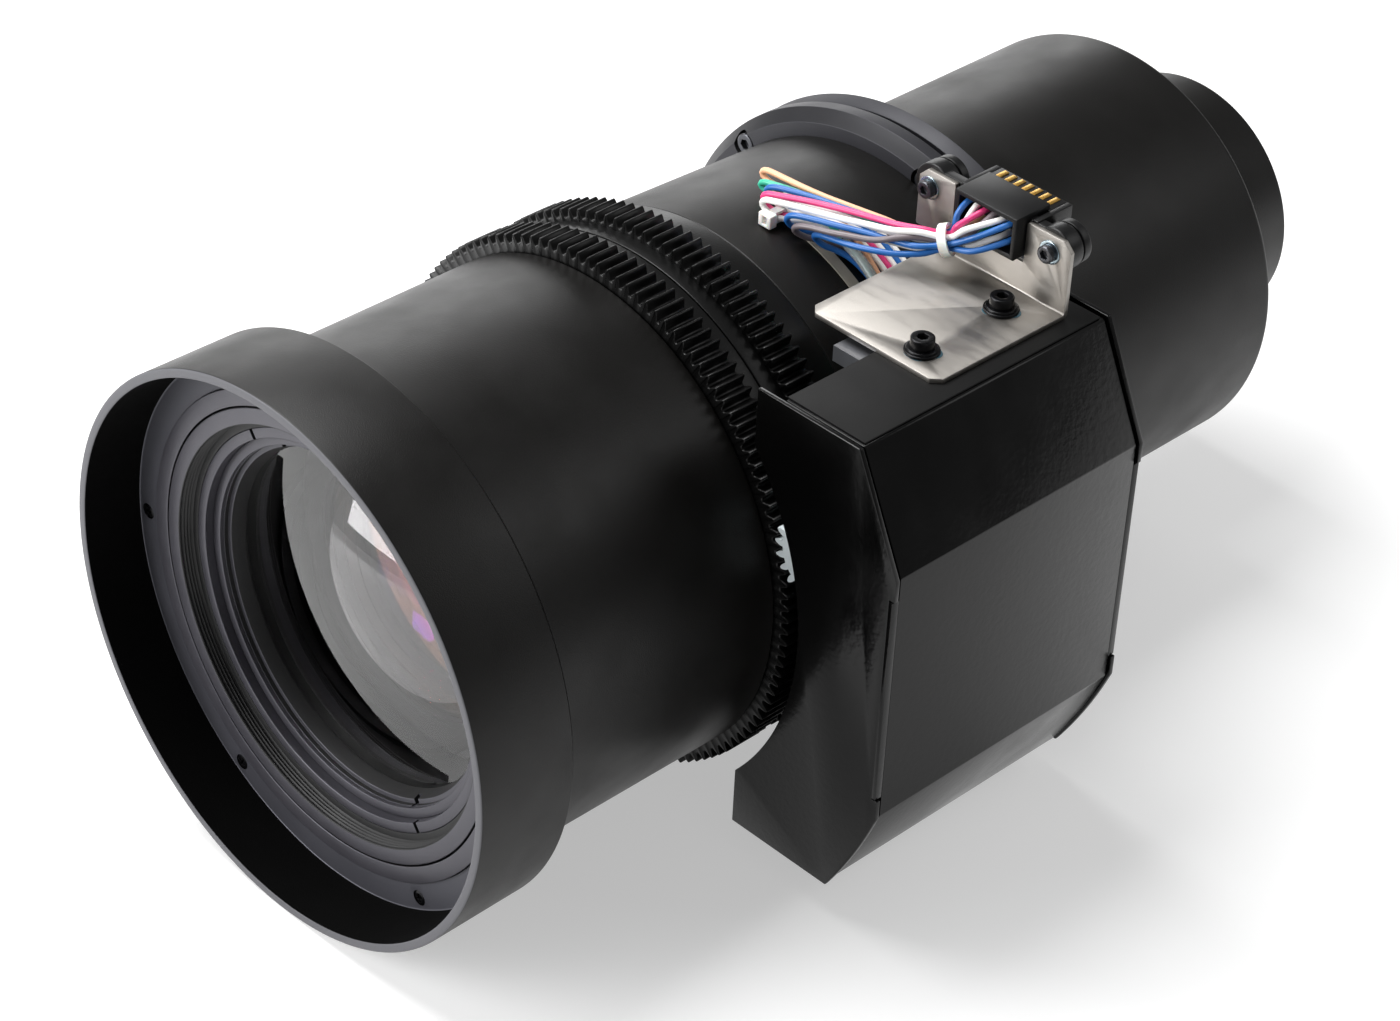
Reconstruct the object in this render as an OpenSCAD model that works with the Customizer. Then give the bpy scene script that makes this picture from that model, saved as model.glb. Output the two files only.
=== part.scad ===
// Motorised zoom lens for a projector.
// The optical axis is Y, with the front of the lens towards -Y and +Z up.
// The motor box is on the +X side and the plug-in connector is above it.
// The origin is on the optical axis, in the seat face at the back of the mounting flange.
// Everything is in millimetres.

/* [Barrel] */
// Seat face of the flange to the front rim of the hood
seat_to_front = 196.4; // [190:0.2:204]
// Outer diameter of the front barrel
front_barrel_d = 123.6; // [122.8:0.2:125]
// Outer diameter of the tube that the two gear rings turn on
ring_tube_d = 114; // [113.6:0.1:114.6]
// Bore of the ring tube, in which the lens cells slide
cell_bore_d = 108; // [107.4:0.1:108.6]
// Outer diameter of the middle barrel at the zoom ring
mid_front_d = 120.6; // [119.6:0.2:121.2]
// Outer diameter of the middle barrel at the flange
mid_rear_d = 117.2; // [116:0.2:118.2]
// Length of the middle barrel between the zoom ring and the flange
mid_len = 55.3; // [54:0.1:57]
// Outer diameter of the rear barrel that enters the projector
rear_barrel_d = 110; // [109.4:0.2:110.8]
// Length of the rear barrel behind the seat face
rear_barrel_len = 79.2; // [70:0.2:95]
// Wall of the rear barrel
rear_wall = 5; // [3.5:0.5:6]
// Outer diameter of the tail tube
tail_d = 67.6; // [62:0.2:74]
// Length of the tail tube behind the rear barrel
tail_len = 32.8; // [26:0.2:45]
// Wall of the tail tube
tail_wall = 3.6; // [3:0.1:4.5]

/* [Hood] */
// Outer diameter of the hood at the front rim
hood_d = 138.2; // [137:0.2:142]
// Outer diameter of the hood at its rear edge
hood_rear_d = 137.7; // [136.8:0.1:138]
// Length of the hood
hood_len = 26.5; // [25:0.1:34]
// Depth of the hood from the rim to the ledge with the screws
hood_depth = 15; // [12:0.1:16.5]
// Width of the hood's front rim
hood_rim_w = 2.2; // [1.6:0.1:2.8]
// Inner diameter of the hood at the ledge
hood_inner_d = 132.2; // [131.4:0.2:133]
// Thickness of the hood floor that carries the screws
hood_floor_t = 2.5; // [2:0.1:3]
// Radius of the circle of hood screws
hood_screw_r = 63.1; // [62.6:0.1:63.4]
// Number of hood screws
hood_screws_n = 6; // [3:1:8]

/* [Gear rings] */
// Tooth module of the two rings and their pinions
gear_module = 1; // [0.98:0.01:1.02]
// Teeth of each ring
ring_teeth = 130; // [129:1:131]
// Teeth of each motor pinion and sensor gear
pinion_teeth = 20; // [18:1:21]
// Width of the toothed part of each ring
ring_gear_w = 8.8; // [8:0.1:9.4]
// Diameter of the smooth band between the two gears
ring_band_d = 125.8; // [125:0.1:126.4]
// Length of each ring's part of that band
ring_band_w = 4; // [3.6:0.1:4.4]
// Diameter of the smooth hub behind the zoom gear
zoom_hub_d = 121.2; // [120.8:0.1:122]
// Length of that hub
zoom_hub_w = 9.3; // [8.6:0.1:10]
// Turning range of the focus ring to each side, degrees
focus_half_turn = 60; // [30:1:75]
// Turning range of the zoom ring to each side, degrees
zoom_half_turn = 35; // [20:1:50]
// Travel of the focus cell to each side
focus_travel = 3.15; // [2:0.05:3.4]
// Travel of the zoom cell to each side
zoom_travel = 4.9; // [3:0.1:5]

/* [Flange] */
// Outer diameter of the clamping flange
flange_d = 130.1; // [128.5:0.1:132]
// Front face of the flange to the seat face
flange_t = 13; // [12:0.1:15]
// Width and depth of the chamfer on the flange's front edge
flange_chamfer = 3; // [2.4:0.1:3.4]
// Length of the flange's front plate
flange_plate_t = 6.6; // [6:0.1:7.4]
// Length of the rear ring, whose back is the seat face
seat_ring_t = 3.7; // [3.2:0.1:4.2]
// Diameter at the bottom of the groove for the projector's clamp
clamp_groove_d = 122; // [120:0.2:124]
// Radius of the circle of flange screws
flange_screw_r = 60.2; // [59.8:0.1:60.4]

/* [Front cell] */
// Outer diameter of the focus cell's front collar
collar_d = 109.2; // [108.6:0.1:109.4]
// Inner diameter of the collar at its front face
collar_mouth_d = 101.4; // [100.6:0.1:102]
// Depth from the collar's face to the retaining ring
ring_depth = 3.8; // [3.2:0.1:4.4]
// Outer diameter of the retaining ring with two notches
retainer_d = 97.2; // [96.6:0.1:98]
// Inner diameter of the retaining ring
retainer_hole_d = 92; // [91.6:0.1:92.4]
// Length of the retaining ring
retainer_t = 5.2; // [4.6:0.1:5.6]
// Clear opening in front of the first lens
front_opening_d = 84.6; // [82:0.2:86]

/* [Lenses] */
// Diameter of the front lens
front_lens_d = 90.8; // [90.2:0.1:91.2]
// Diameter of the second lens
second_lens_d = 72; // [68:0.5:74]
// Diameter of the third lens
third_lens_d = 68; // [64:0.5:70]
// Diameter of the first lens of the zoom cell
fourth_lens_d = 60; // [54:0.5:64]
// Diameter of the second lens of the zoom cell
fifth_lens_d = 56; // [50:0.5:60]
// Diameter of the lens at the front of the tail tube
sixth_lens_d = 54; // [50:0.5:56]
// Diameter of the rear lens
rear_lens_d = 58; // [54:0.2:59]

/* [Motor box] */
// Front face of the box ahead of the seat face
box_front = 105.4; // [105:0.1:109]
// Length of the box along the lens
box_len = 80.5; // [79:0.1:84]
// Half height of the box
box_half_h = 60.3; // [59.6:0.1:62]
// Distance of the box's outer side from the optical axis
box_side_x = 97.5; // [96.5:0.1:101]
// Distance of the upper and lower outer edges from the optical axis
box_edge_x = 84.2; // [83:0.1:86]
// Half height of the flat outer side
box_flat_half_h = 32.8; // [31:0.1:35]
// Distance of the box's inner edges from the optical axis
box_inner_x = 54; // [53:0.1:55]
// Thickness of the box's sheet metal
sheet_t = 1.2; // [1:0.1:1.4]
// Radius of the front plate's arc round the gear rings
front_arc_r = 70.5; // [69:0.1:71]
// Radius of the rear plate's arc round the middle barrel
rear_arc_r = 61.5; // [61:0.1:63]

/* [Drives] */
// Angle of each motor above or below the middle of the box, degrees
motor_angle = 18; // [17:0.5:20]
// Diameter of the gearboxes
gearbox_d = 22; // [20:0.5:22.5]
// Length of the gearboxes
gearbox_len = 16; // [14:0.5:18]
// Diameter of the motors
motor_d = 20; // [18:0.5:21]
// Length of the motors
motor_len = 24; // [18:0.5:26]
// Diameter of the pinion shafts
shaft_d = 3; // [2:0.1:3.4]
// Diameter of the position sensors
sensor_d = 14; // [10:0.5:15]

/* [Bracket and connector] */
// Thickness of the bright angle bracket
bracket_t = 1.2; // [1:0.1:1.4]
// Length of the bracket's base along the lens
bracket_len = 42.4; // [41:0.1:44]
// Height of the bracket's upright above its base
bracket_h = 17.8; // [17:0.1:20]
// Width of the connector body
connector_w = 18.2; // [17.4:0.1:18.2]
// Height of the connector body
connector_h = 10.6; // [10:0.1:10.8]
// Spacing of the connector's contacts
contact_pitch = 2.54; // [2.4:0.01:2.6]
// Diameter of the insulated wires
wire_d = 1.1; // [1:0.05:1.3]

/* [Hidden] */
$fn = 96;
small_fn = 32;

// Clearances and overruns shared by the whole lens
fit_gap = 0.05;
run_gap = 0.3;
over = 1;

// Stations along the lens, measured from the seat face
y_front = -seat_to_front;
y_ledge = y_front + hood_depth;
y_hood_rear = y_front + hood_len;
y_flange = -flange_t;
y_mid_front = y_flange - mid_len;
y_zoom_rear = y_mid_front - run_gap;
y_zoom_gear_rear = y_zoom_rear - zoom_hub_w;
y_zoom_gear_front = y_zoom_gear_rear - ring_gear_w;
y_zoom_front = y_zoom_gear_front - ring_band_w;
y_focus_rear = y_zoom_front - run_gap;
y_focus_gear_rear = y_focus_rear - ring_band_w;
y_focus_front = y_focus_gear_rear - ring_gear_w;
y_front_barrel_rear = y_focus_front - run_gap;

// Turns +Z into +Y, so that turned parts lie along the lens
module along_y(y = 0) {
  translate([0, y, 0]) rotate([-90, 0, 0]) children();
}

// A part turned about the lens axis from an outline of [radius, station] points
module turned(outline) {
  rotate([-90, 0, 0]) rotate_extrude() polygon(outline);
}

// A plain ring between two stations
module ring(r_out, r_in, y0, y1) {
  turned([[r_in, y0], [r_out, y0], [r_out, y1], [r_in, y1]]);
}

// A ring sector centred on an angle, used for slots round a tube
module ring_sector(r_out, r_in, y0, y1, angle, half_angle) {
  rotate([-90, 0, 0]) rotate([0, 0, -angle - half_angle])
    rotate_extrude(angle = 2 * half_angle)
      polygon([[r_in, y0], [r_out, y0], [r_out, y1], [r_in, y1]]);
}

// Puts a child, drawn along +Z, pointing outwards from the lens axis
module radial(angle, r, y) {
  rotate([0, -angle, 0]) translate([r, y, 0]) rotate([0, 90, 0]) children();
}

// Copies a child round the lens axis at equal angles
module round_axis(count, radius, start = 0) {
  for (i = [0 : count - 1])
    rotate([0, -start - i * 360 / count, 0]) translate([radius, 0, 0]) children();
}

// Depth of a spherical surface at a radius: positive where it bulges to the front
function sag(radius, r) = radius > 0
  ? radius - sqrt(radius * radius - r * r)
  : -(abs(radius) - sqrt(radius * radius - r * r));

lens_steps = 10;

// Outline of a lens: two spherical faces inside a flat rim, between its rim stations
function lens_outline(r_rim, rim_w, y0, y1, front_radius, rear_radius) =
  let (r_face = r_rim - rim_w)
  concat(
    [for (i = [0 : lens_steps])
      let (r = r_face * i / lens_steps)
      [r, y0 - sag(front_radius, r_face) + sag(front_radius, r)]],
    [[r_rim, y0], [r_rim, y1]],
    [for (i = [lens_steps : -1 : 0])
      let (r = r_face * i / lens_steps)
      [r, y1 - sag(rear_radius, r_face) + sag(rear_radius, r)]]
  );

module lens(d, rim_w, y0, y1, front_radius, rear_radius) {
  turned(lens_outline(d / 2, rim_w, y0, y1, front_radius, rear_radius));
}

// Hood
hood_r = hood_d / 2;
hood_rear_r = hood_rear_d / 2;
hood_inner_r = hood_inner_d / 2;
hood_edge_chamfer = 0.8;
front_barrel_r = front_barrel_d / 2;
front_lip_h = 0.8;
front_lip_r = 59.1;
hood_back_t = 2.4;
hood_screw_head_d = 3.8;
hood_screw_head_h = 0.9;
hood_screw_d = 2;
hood_screw_len = 6;
hood_screw_slot_w = 0.6;
hood_screw_slot_depth = 0.5;
barrel_collar_t = 6;

module hood() {
  color("#1b1b1d")
  difference() {
    turned([
      [hood_r - hood_rim_w, y_front],
      [hood_r, y_front],
      [hood_rear_r, y_hood_rear - hood_edge_chamfer],
      [hood_rear_r - hood_edge_chamfer, y_hood_rear],
      [hood_inner_r, y_hood_rear],
      [hood_inner_r, y_ledge + hood_floor_t],
      [front_lip_r + fit_gap, y_ledge + hood_floor_t],
      [front_lip_r + fit_gap, y_ledge],
      [hood_inner_r, y_ledge]
    ]);
    round_axis(hood_screws_n, hood_screw_r) {
      along_y(y_ledge - over)
        cylinder(h = hood_floor_t + 2 * over, r = hood_screw_d / 2 + fit_gap, $fn = small_fn);
      along_y(y_ledge - over)
        cylinder(h = hood_screw_head_h + over, r = hood_screw_head_d / 2 + fit_gap, $fn = small_fn);
    }
  }
}

module hood_back_ring() {
  color("#202022")
  ring(hood_inner_r - fit_gap, front_barrel_r + fit_gap, y_hood_rear - hood_back_t, y_hood_rear);
}

module hood_screws() {
  color("#2a2a2c")
  round_axis(hood_screws_n, hood_screw_r)
    difference() {
      union() {
        along_y(y_ledge)
          cylinder(h = hood_screw_head_h, r = hood_screw_head_d / 2, $fn = small_fn);
        along_y(y_ledge + hood_screw_head_h)
          cylinder(h = hood_screw_len - hood_screw_head_h, r = hood_screw_d / 2, $fn = small_fn);
      }
      for (a = [0, 90])
        rotate([0, a, 0])
          translate([-hood_screw_head_d / 4, y_ledge - over, -hood_screw_slot_w / 2])
            cube([hood_screw_head_d / 2, hood_screw_slot_depth + over, hood_screw_slot_w]);
    }
}

// Front barrel
ring_tube_r = ring_tube_d / 2;
ring_tube_lap = 21.3;
y_ring_tube_front = y_front_barrel_rear - ring_tube_lap;
front_bore_r = 55;
barrel_collar_r = hood_inner_r - fit_gap;
y_barrel_collar = y_ledge + hood_floor_t;

module front_barrel() {
  color("#18181a")
  difference() {
    turned([
      [front_bore_r, y_ledge - front_lip_h],
      [front_lip_r, y_ledge - front_lip_h],
      [front_lip_r, y_barrel_collar],
      [barrel_collar_r, y_barrel_collar],
      [barrel_collar_r, y_barrel_collar + barrel_collar_t],
      [front_barrel_r, y_barrel_collar + barrel_collar_t],
      [front_barrel_r, y_front_barrel_rear],
      [ring_tube_r + fit_gap, y_front_barrel_rear],
      [ring_tube_r + fit_gap, y_ring_tube_front],
      [front_bore_r, y_ring_tube_front]
    ]);
    round_axis(hood_screws_n, hood_screw_r)
      along_y(y_barrel_collar - over)
        cylinder(h = hood_screw_len - hood_floor_t + 2 * over,
          r = hood_screw_d / 2 + fit_gap, $fn = small_fn);
  }
}

// Main barrel: the ring tube and the middle barrel in one piece
cell_bore_r = cell_bore_d / 2;
mid_front_r = mid_front_d / 2;
mid_rear_r = mid_rear_d / 2;
key_d = 4;
key_depth = 1.6;
key_inner_r = cell_bore_r - key_depth;
key_groove_r = key_inner_r - run_gap;
key_outer_inset = 1.2;
y_focus_key = (y_focus_front + y_focus_gear_rear) / 2;
y_zoom_key = y_zoom_rear - zoom_hub_w / 2;
key_angle = 180;
key_angle_share = 1.2;
key_side_angle = key_angle_share * asin((key_d / 2 + run_gap) / key_inner_r);
guide_d = 3;
guide_angle = -90;
guide_end_inset = 0.8;
focus_guide_setback = 8;
zoom_guide_setback = 23;
y_focus_guide = y_ring_tube_front + focus_guide_setback;
y_zoom_guide = y_mid_front + zoom_guide_setback;
spigot_len = 9;
rear_fit_r = cell_bore_r - fit_gap;
seat_relief = 0.3;
seat_relief_depth = 0.5;

module key_slot(y, half_turn) {
  ring_sector(ring_tube_r + over, cell_bore_r - over,
    y - key_d / 2 - run_gap, y + key_d / 2 + run_gap,
    key_angle, half_turn + key_side_angle);
}

module main_barrel() {
  color("#1e1e20")
  difference() {
    turned([
      [cell_bore_r, y_ring_tube_front],
      [ring_tube_r, y_ring_tube_front],
      [ring_tube_r, y_mid_front],
      [mid_front_r, y_mid_front],
      [mid_rear_r, y_flange],
      [cell_bore_r, y_flange]
    ]);
    key_slot(y_focus_key, focus_half_turn);
    key_slot(y_zoom_key, zoom_half_turn);
    for (y = [y_focus_guide, y_zoom_guide])
      radial(guide_angle, cell_bore_r - over, y)
        cylinder(h = mid_front_r, r = guide_d / 2 + fit_gap, $fn = small_fn);
    saddle_screw_holes();
  }
}

// Gear rings
tooth_add = gear_module;
tooth_ded_share = 1.25;
tooth_ded = tooth_ded_share * gear_module;
pressure_angle = 20;
tooth_play = 0.22;
ring_bore_r = ring_tube_r + fit_gap;
ring_band_r = ring_band_d / 2;
zoom_hub_r = zoom_hub_d / 2;
flank_steps = 4;

// Involute function and the half angle of a tooth at a radius
function inv(a) = tan(a) * 180 / PI - a;
function tooth_half_angle(teeth, r, play) =
  let (pitch_r = gear_module * teeth / 2,
     base_r = pitch_r * cos(pressure_angle),
     a = r > base_r ? acos(base_r / r) : 0)
  90 / teeth + inv(pressure_angle) - inv(a) - play / pitch_r * 90 / PI;

// Outline of a spur gear whose first tooth points along +X, turned by phase degrees
function gear_outline(teeth, steps, play, phase) =
  let (pitch_r = gear_module * teeth / 2,
     root_r = pitch_r - tooth_ded,
     tip_r = pitch_r + tooth_add)
  [for (i = [0 : teeth - 1], side = [-1, 1], k = [0 : steps])
    let (j = side < 0 ? k : steps - k,
       r = root_r + (tip_r - root_r) * j / steps,
       a = phase + i * 360 / teeth + side * tooth_half_angle(teeth, r, play))
    [r * cos(a), r * sin(a)]];

module spur_gear(teeth, w, steps, phase) {
  linear_extrude(w) polygon(gear_outline(teeth, steps, tooth_play, phase));
}

module key_hole(y, r_out) {
  radial(key_angle, cell_bore_r, y)
    cylinder(h = r_out - key_outer_inset - cell_bore_r + fit_gap, r = key_d / 2 + fit_gap, $fn = small_fn);
}

module focus_ring() {
  color("#161617")
  difference() {
    union() {
      along_y(y_focus_front) spur_gear(ring_teeth, ring_gear_w, 1, 0);
      along_y(y_focus_gear_rear) cylinder(h = ring_band_w, r = ring_band_r);
    }
    along_y(y_focus_front - over)
      cylinder(h = ring_gear_w + ring_band_w + 2 * over, r = ring_bore_r);
    key_hole(y_focus_key, ring_band_r);
  }
}

module zoom_ring() {
  color("#161617")
  difference() {
    union() {
      along_y(y_zoom_front) cylinder(h = ring_band_w, r = ring_band_r);
      along_y(y_zoom_gear_front) spur_gear(ring_teeth, ring_gear_w, 1, 0);
      along_y(y_zoom_gear_rear) cylinder(h = zoom_hub_w, r = zoom_hub_r);
    }
    along_y(y_zoom_front - over)
      cylinder(h = y_zoom_rear - y_zoom_front + 2 * over, r = ring_bore_r);
    key_hole(y_zoom_key, zoom_hub_r);
  }
}

// Drive keys: each ring's key reaches through the ring tube into its lens cell
module key(y, r_out) {
  radial(key_angle, key_inner_r, y)
    cylinder(h = r_out - key_outer_inset - key_inner_r, r = key_d / 2, $fn = small_fn);
}

module focus_key() {
  color("#b9a05a") key(y_focus_key, ring_band_r);
}

module zoom_key() {
  color("#b9a05a") key(y_zoom_key, zoom_hub_r);
}

// Pins that keep the two lens cells from turning
module guide_pins() {
  color("#9a9a9c") {
    radial(guide_angle, key_inner_r, y_focus_guide)
      cylinder(h = ring_tube_r - key_inner_r, r = guide_d / 2, $fn = small_fn);
    radial(guide_angle, key_inner_r, y_zoom_guide)
      cylinder(h = mid_rear_r - guide_end_inset - key_inner_r, r = guide_d / 2, $fn = small_fn);
  }
}

// Flange, seat ring and their screws
flange_r = flange_d / 2;
clamp_groove_r = clamp_groove_d / 2;
rear_barrel_r = rear_barrel_d / 2;
seat_ring_front_drop = 1.5;
seat_edge = 0.3;
flange_screws_n = 6;
flange_screw_start = 15;
flange_screw_d = 3;
flange_screw_head_d = 5.5;
flange_screw_head_h = 3;
flange_screw_socket = 2.5;
flange_pocket_d = 7;
y_flange_plate_rear = y_flange + flange_plate_t;
y_seat_ring = -seat_ring_t;
y_flange_screw_head = y_flange + flange_screw_head_h + seat_edge;

module flange_plate() {
  color("#2c2c30")
  difference() {
    turned([
      [rear_fit_r + fit_gap, y_flange],
      [flange_r - flange_chamfer, y_flange],
      [flange_r, y_flange + flange_chamfer],
      [flange_r, y_flange_plate_rear],
      [clamp_groove_r, y_flange_plate_rear],
      [clamp_groove_r, y_seat_ring],
      [rear_fit_r + fit_gap, y_seat_ring]
    ]);
    round_axis(flange_screws_n, flange_screw_r, flange_screw_start) {
      along_y(y_flange - over)
        cylinder(h = flange_t - seat_ring_t + 2 * over,
          r = flange_screw_d / 2 + fit_gap, $fn = small_fn);
      along_y(y_flange - over)
        cylinder(h = y_flange_screw_head - y_flange + over, r = flange_pocket_d / 2, $fn = small_fn);
    }
  }
}

module seat_ring() {
  color("#232326")
  difference() {
    turned([
      [rear_fit_r + fit_gap, y_seat_ring],
      [flange_r - seat_ring_front_drop, y_seat_ring],
      [flange_r, -seat_edge],
      [flange_r - seat_edge, 0],
      [rear_barrel_r + seat_relief, 0],
      [rear_barrel_r + seat_relief, -seat_relief_depth],
      [rear_fit_r + fit_gap, -seat_relief_depth]
    ]);
    round_axis(flange_screws_n, flange_screw_r, flange_screw_start)
      along_y(y_seat_ring - over)
        cylinder(h = seat_ring_t + 2 * over, r = flange_screw_d / 2 + fit_gap, $fn = small_fn);
  }
}

// A hexagon socket cut into a screw head, drawn along +Z from the head's top down
module socket(size, depth) {
  translate([0, 0, -depth]) cylinder(h = depth + over, r = size / sqrt(3), $fn = 6);
}

module flange_screws() {
  color("#202022")
  round_axis(flange_screws_n, flange_screw_r, flange_screw_start)
    along_y(y_flange_screw_head)
      difference() {
        union() {
          translate([0, 0, -flange_screw_head_h])
            cylinder(h = flange_screw_head_h, r = flange_screw_head_d / 2, $fn = small_fn);
          cylinder(h = -y_flange_screw_head - seat_edge, r = flange_screw_d / 2, $fn = small_fn);
        }
        translate([0, 0, -flange_screw_head_h])
          mirror([0, 0, 1]) socket(flange_screw_socket, flange_screw_head_h / 2);
      }
}

// Rear barrel, tail tube and its fixing
rear_bore_r = rear_barrel_r - rear_wall;
tail_r = tail_d / 2;
tail_bore_r = tail_r - tail_wall;
rear_end_t = 5;
rear_edge = 1.5;
tail_flange_t = 4;
tail_flange_w = 8;
tail_inner_len = 22;
tail_screws_n = 4;
tail_screw_d = 3;
tail_screw_head_d = 5.5;
tail_screw_head_h = 2;
y_tail = rear_barrel_len + tail_len;
y_rear_end_inner = rear_barrel_len - rear_end_t;
y_tail_flange = y_rear_end_inner - tail_flange_t;
y_tail_front = y_tail_flange - tail_inner_len;
tail_flange_r = tail_r + tail_flange_w;
tail_screw_r = tail_r + tail_flange_w / 2;
tail_edge = 0.6;

module rear_barrel() {
  color("#141415")
  difference() {
    turned([
      [rear_bore_r, y_flange - spigot_len],
      [rear_fit_r, y_flange - spigot_len],
      [rear_fit_r, 0],
      [rear_barrel_r, 0],
      [rear_barrel_r, rear_barrel_len - rear_edge],
      [rear_barrel_r - rear_edge * (1 - cos(45)), rear_barrel_len - rear_edge * (1 - sin(45))],
      [rear_barrel_r - rear_edge, rear_barrel_len],
      [tail_r + fit_gap, rear_barrel_len],
      [tail_r + fit_gap, y_rear_end_inner],
      [rear_bore_r, y_rear_end_inner]
    ]);
    round_axis(tail_screws_n, tail_screw_r)
      along_y(y_rear_end_inner - over)
        cylinder(h = over + rear_end_t / 2 + fit_gap, r = tail_screw_d / 2 + fit_gap, $fn = small_fn);
  }
}

sixth_lens_r = sixth_lens_d / 2;
rear_lens_r = rear_lens_d / 2;
tail_lens_wall = 1.6;
sixth_lens_t = 8;
rear_lens_t = 9;
rear_retainer_t = 4;
rear_retainer_w = 4;
y_rear_lens_rear = y_tail - rear_retainer_t;
y_rear_lens = y_rear_lens_rear - rear_lens_t;
tail_seat_t = 2.5;
lens_seat_w = 1.2;

module tail_tube() {
  color("#131314")
  difference() {
    turned([
      [sixth_lens_r + fit_gap, y_tail_front],
      [tail_r, y_tail_front],
      [tail_r, y_tail_flange],
      [tail_flange_r, y_tail_flange],
      [tail_flange_r, y_rear_end_inner],
      [tail_r, y_rear_end_inner],
      [tail_r, y_tail - tail_edge],
      [tail_r - tail_edge, y_tail],
      [rear_lens_r + fit_gap, y_tail],
      [rear_lens_r + fit_gap, y_rear_lens],
      [rear_lens_r - lens_seat_w, y_rear_lens],
      [rear_lens_r - lens_seat_w, y_rear_lens - tail_seat_t],
      [tail_bore_r, y_rear_lens - tail_seat_t],
      [tail_bore_r, y_tail_front + sixth_lens_t + tail_seat_t],
      [sixth_lens_r - lens_seat_w, y_tail_front + sixth_lens_t + tail_seat_t],
      [sixth_lens_r - lens_seat_w, y_tail_front + sixth_lens_t],
      [sixth_lens_r + fit_gap, y_tail_front + sixth_lens_t]
    ]);
    round_axis(tail_screws_n, tail_screw_r)
      along_y(y_tail_flange - over)
        cylinder(h = tail_flange_t + 2 * over, r = tail_screw_d / 2 + fit_gap, $fn = small_fn);
  }
}

module tail_screws() {
  color("#2a2a2c")
  round_axis(tail_screws_n, tail_screw_r) {
    along_y(y_tail_flange - tail_screw_head_h)
      cylinder(h = tail_screw_head_h, r = tail_screw_head_d / 2, $fn = small_fn);
    along_y(y_tail_flange)
      cylinder(h = tail_flange_t + rear_end_t / 2, r = tail_screw_d / 2, $fn = small_fn);
  }
}

module rear_retainer() {
  color("#1c1c1e")
  ring(rear_lens_r, rear_lens_r - rear_retainer_w, y_rear_lens_rear, y_tail - tail_edge);
}

// Lens faces, by radius of curvature: positive with its centre to the rear
front_lens_faces = [240, 78];
second_lens_faces = [-200, 200];
third_lens_faces = [120, -64];
fourth_lens_faces = [-120, 110];
fifth_lens_faces = [64, -70];
sixth_lens_faces = [70, -120];
rear_lens_faces = [90, -160];
lens_rim = 1.4;

module sixth_lens() {
  color("#c8d4dc", 0.35)
  lens(sixth_lens_d, lens_rim, y_tail_front, y_tail_front + sixth_lens_t,
    sixth_lens_faces[0], sixth_lens_faces[1]);
}

module rear_lens() {
  color("#c8d4dc", 0.35)
  lens(rear_lens_d, rear_retainer_w + lens_rim, y_rear_lens, y_rear_lens_rear,
    rear_lens_faces[0], rear_lens_faces[1]);
}

// Focus cell with its three lenses
collar_r = collar_d / 2;
collar_mouth_r = collar_mouth_d / 2;
collar_t = 6;
collar_slope = 0.35;
thread_grooves = 4;
thread_groove_w = 0.45;
thread_groove_depth = 0.4;
retainer_r = retainer_d / 2;
retainer_hole_r = retainer_hole_d / 2;
front_lens_r = front_lens_d / 2;
second_lens_r = second_lens_d / 2;
third_lens_r = third_lens_d / 2;
cell_wall = 4;
cell_inner_r = cell_bore_r - cell_wall;
cell_r = cell_bore_r - fit_gap;
cell_rear_lap = 2.4;
y_collar = y_ledge - front_lip_h;
y_retainer = y_collar + ring_depth;
y_retainer_rear = y_retainer + retainer_t;
lens_retainer_drop = 2.3;
lens_retainer_step = 1.1;
lens_retainer_t = 5.6;
front_lens_t = 12.4;
lens_step = 6;
second_lens_t = 8;
third_lens_t = 4;
lens_web_t = 4;
third_lens_lip = 2;
y_lens_retainer = y_retainer + lens_retainer_drop;
y_front_lens = y_lens_retainer + lens_retainer_t;
y_front_lens_rear = y_front_lens + front_lens_t;
y_second_lens = y_front_lens_rear + lens_step;
y_second_lens_rear = y_second_lens + second_lens_t;
y_third_lens = y_second_lens_rear + lens_web_t;
y_third_lens_rear = y_third_lens + third_lens_t;
y_cell_web_rear = y_third_lens_rear + third_lens_lip;
y_focus_cell_rear = y_focus_gear_rear + cell_rear_lap;
cell_key_half_w = key_d / 2 + run_gap;
cell_guide_half_w = guide_d / 2 + fit_gap;

// Groove round a lens cell that its ring's key turns in and pushes along
module cell_key_groove(y, travel, half_turn) {
  ring_sector(cell_bore_r + over, key_groove_r,
    y - travel - cell_key_half_w, y + travel + cell_key_half_w,
    key_angle, half_turn + key_side_angle);
}

// Straight slot along a lens cell for its guide pin
module cell_guide_slot(y, travel) {
  half_len = travel + guide_d / 2 + run_gap;
  rotate([0, -guide_angle, 0])
    translate([key_groove_r, y - half_len, -cell_guide_half_w])
      cube([cell_wall, 2 * half_len, 2 * cell_guide_half_w]);
}

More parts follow.
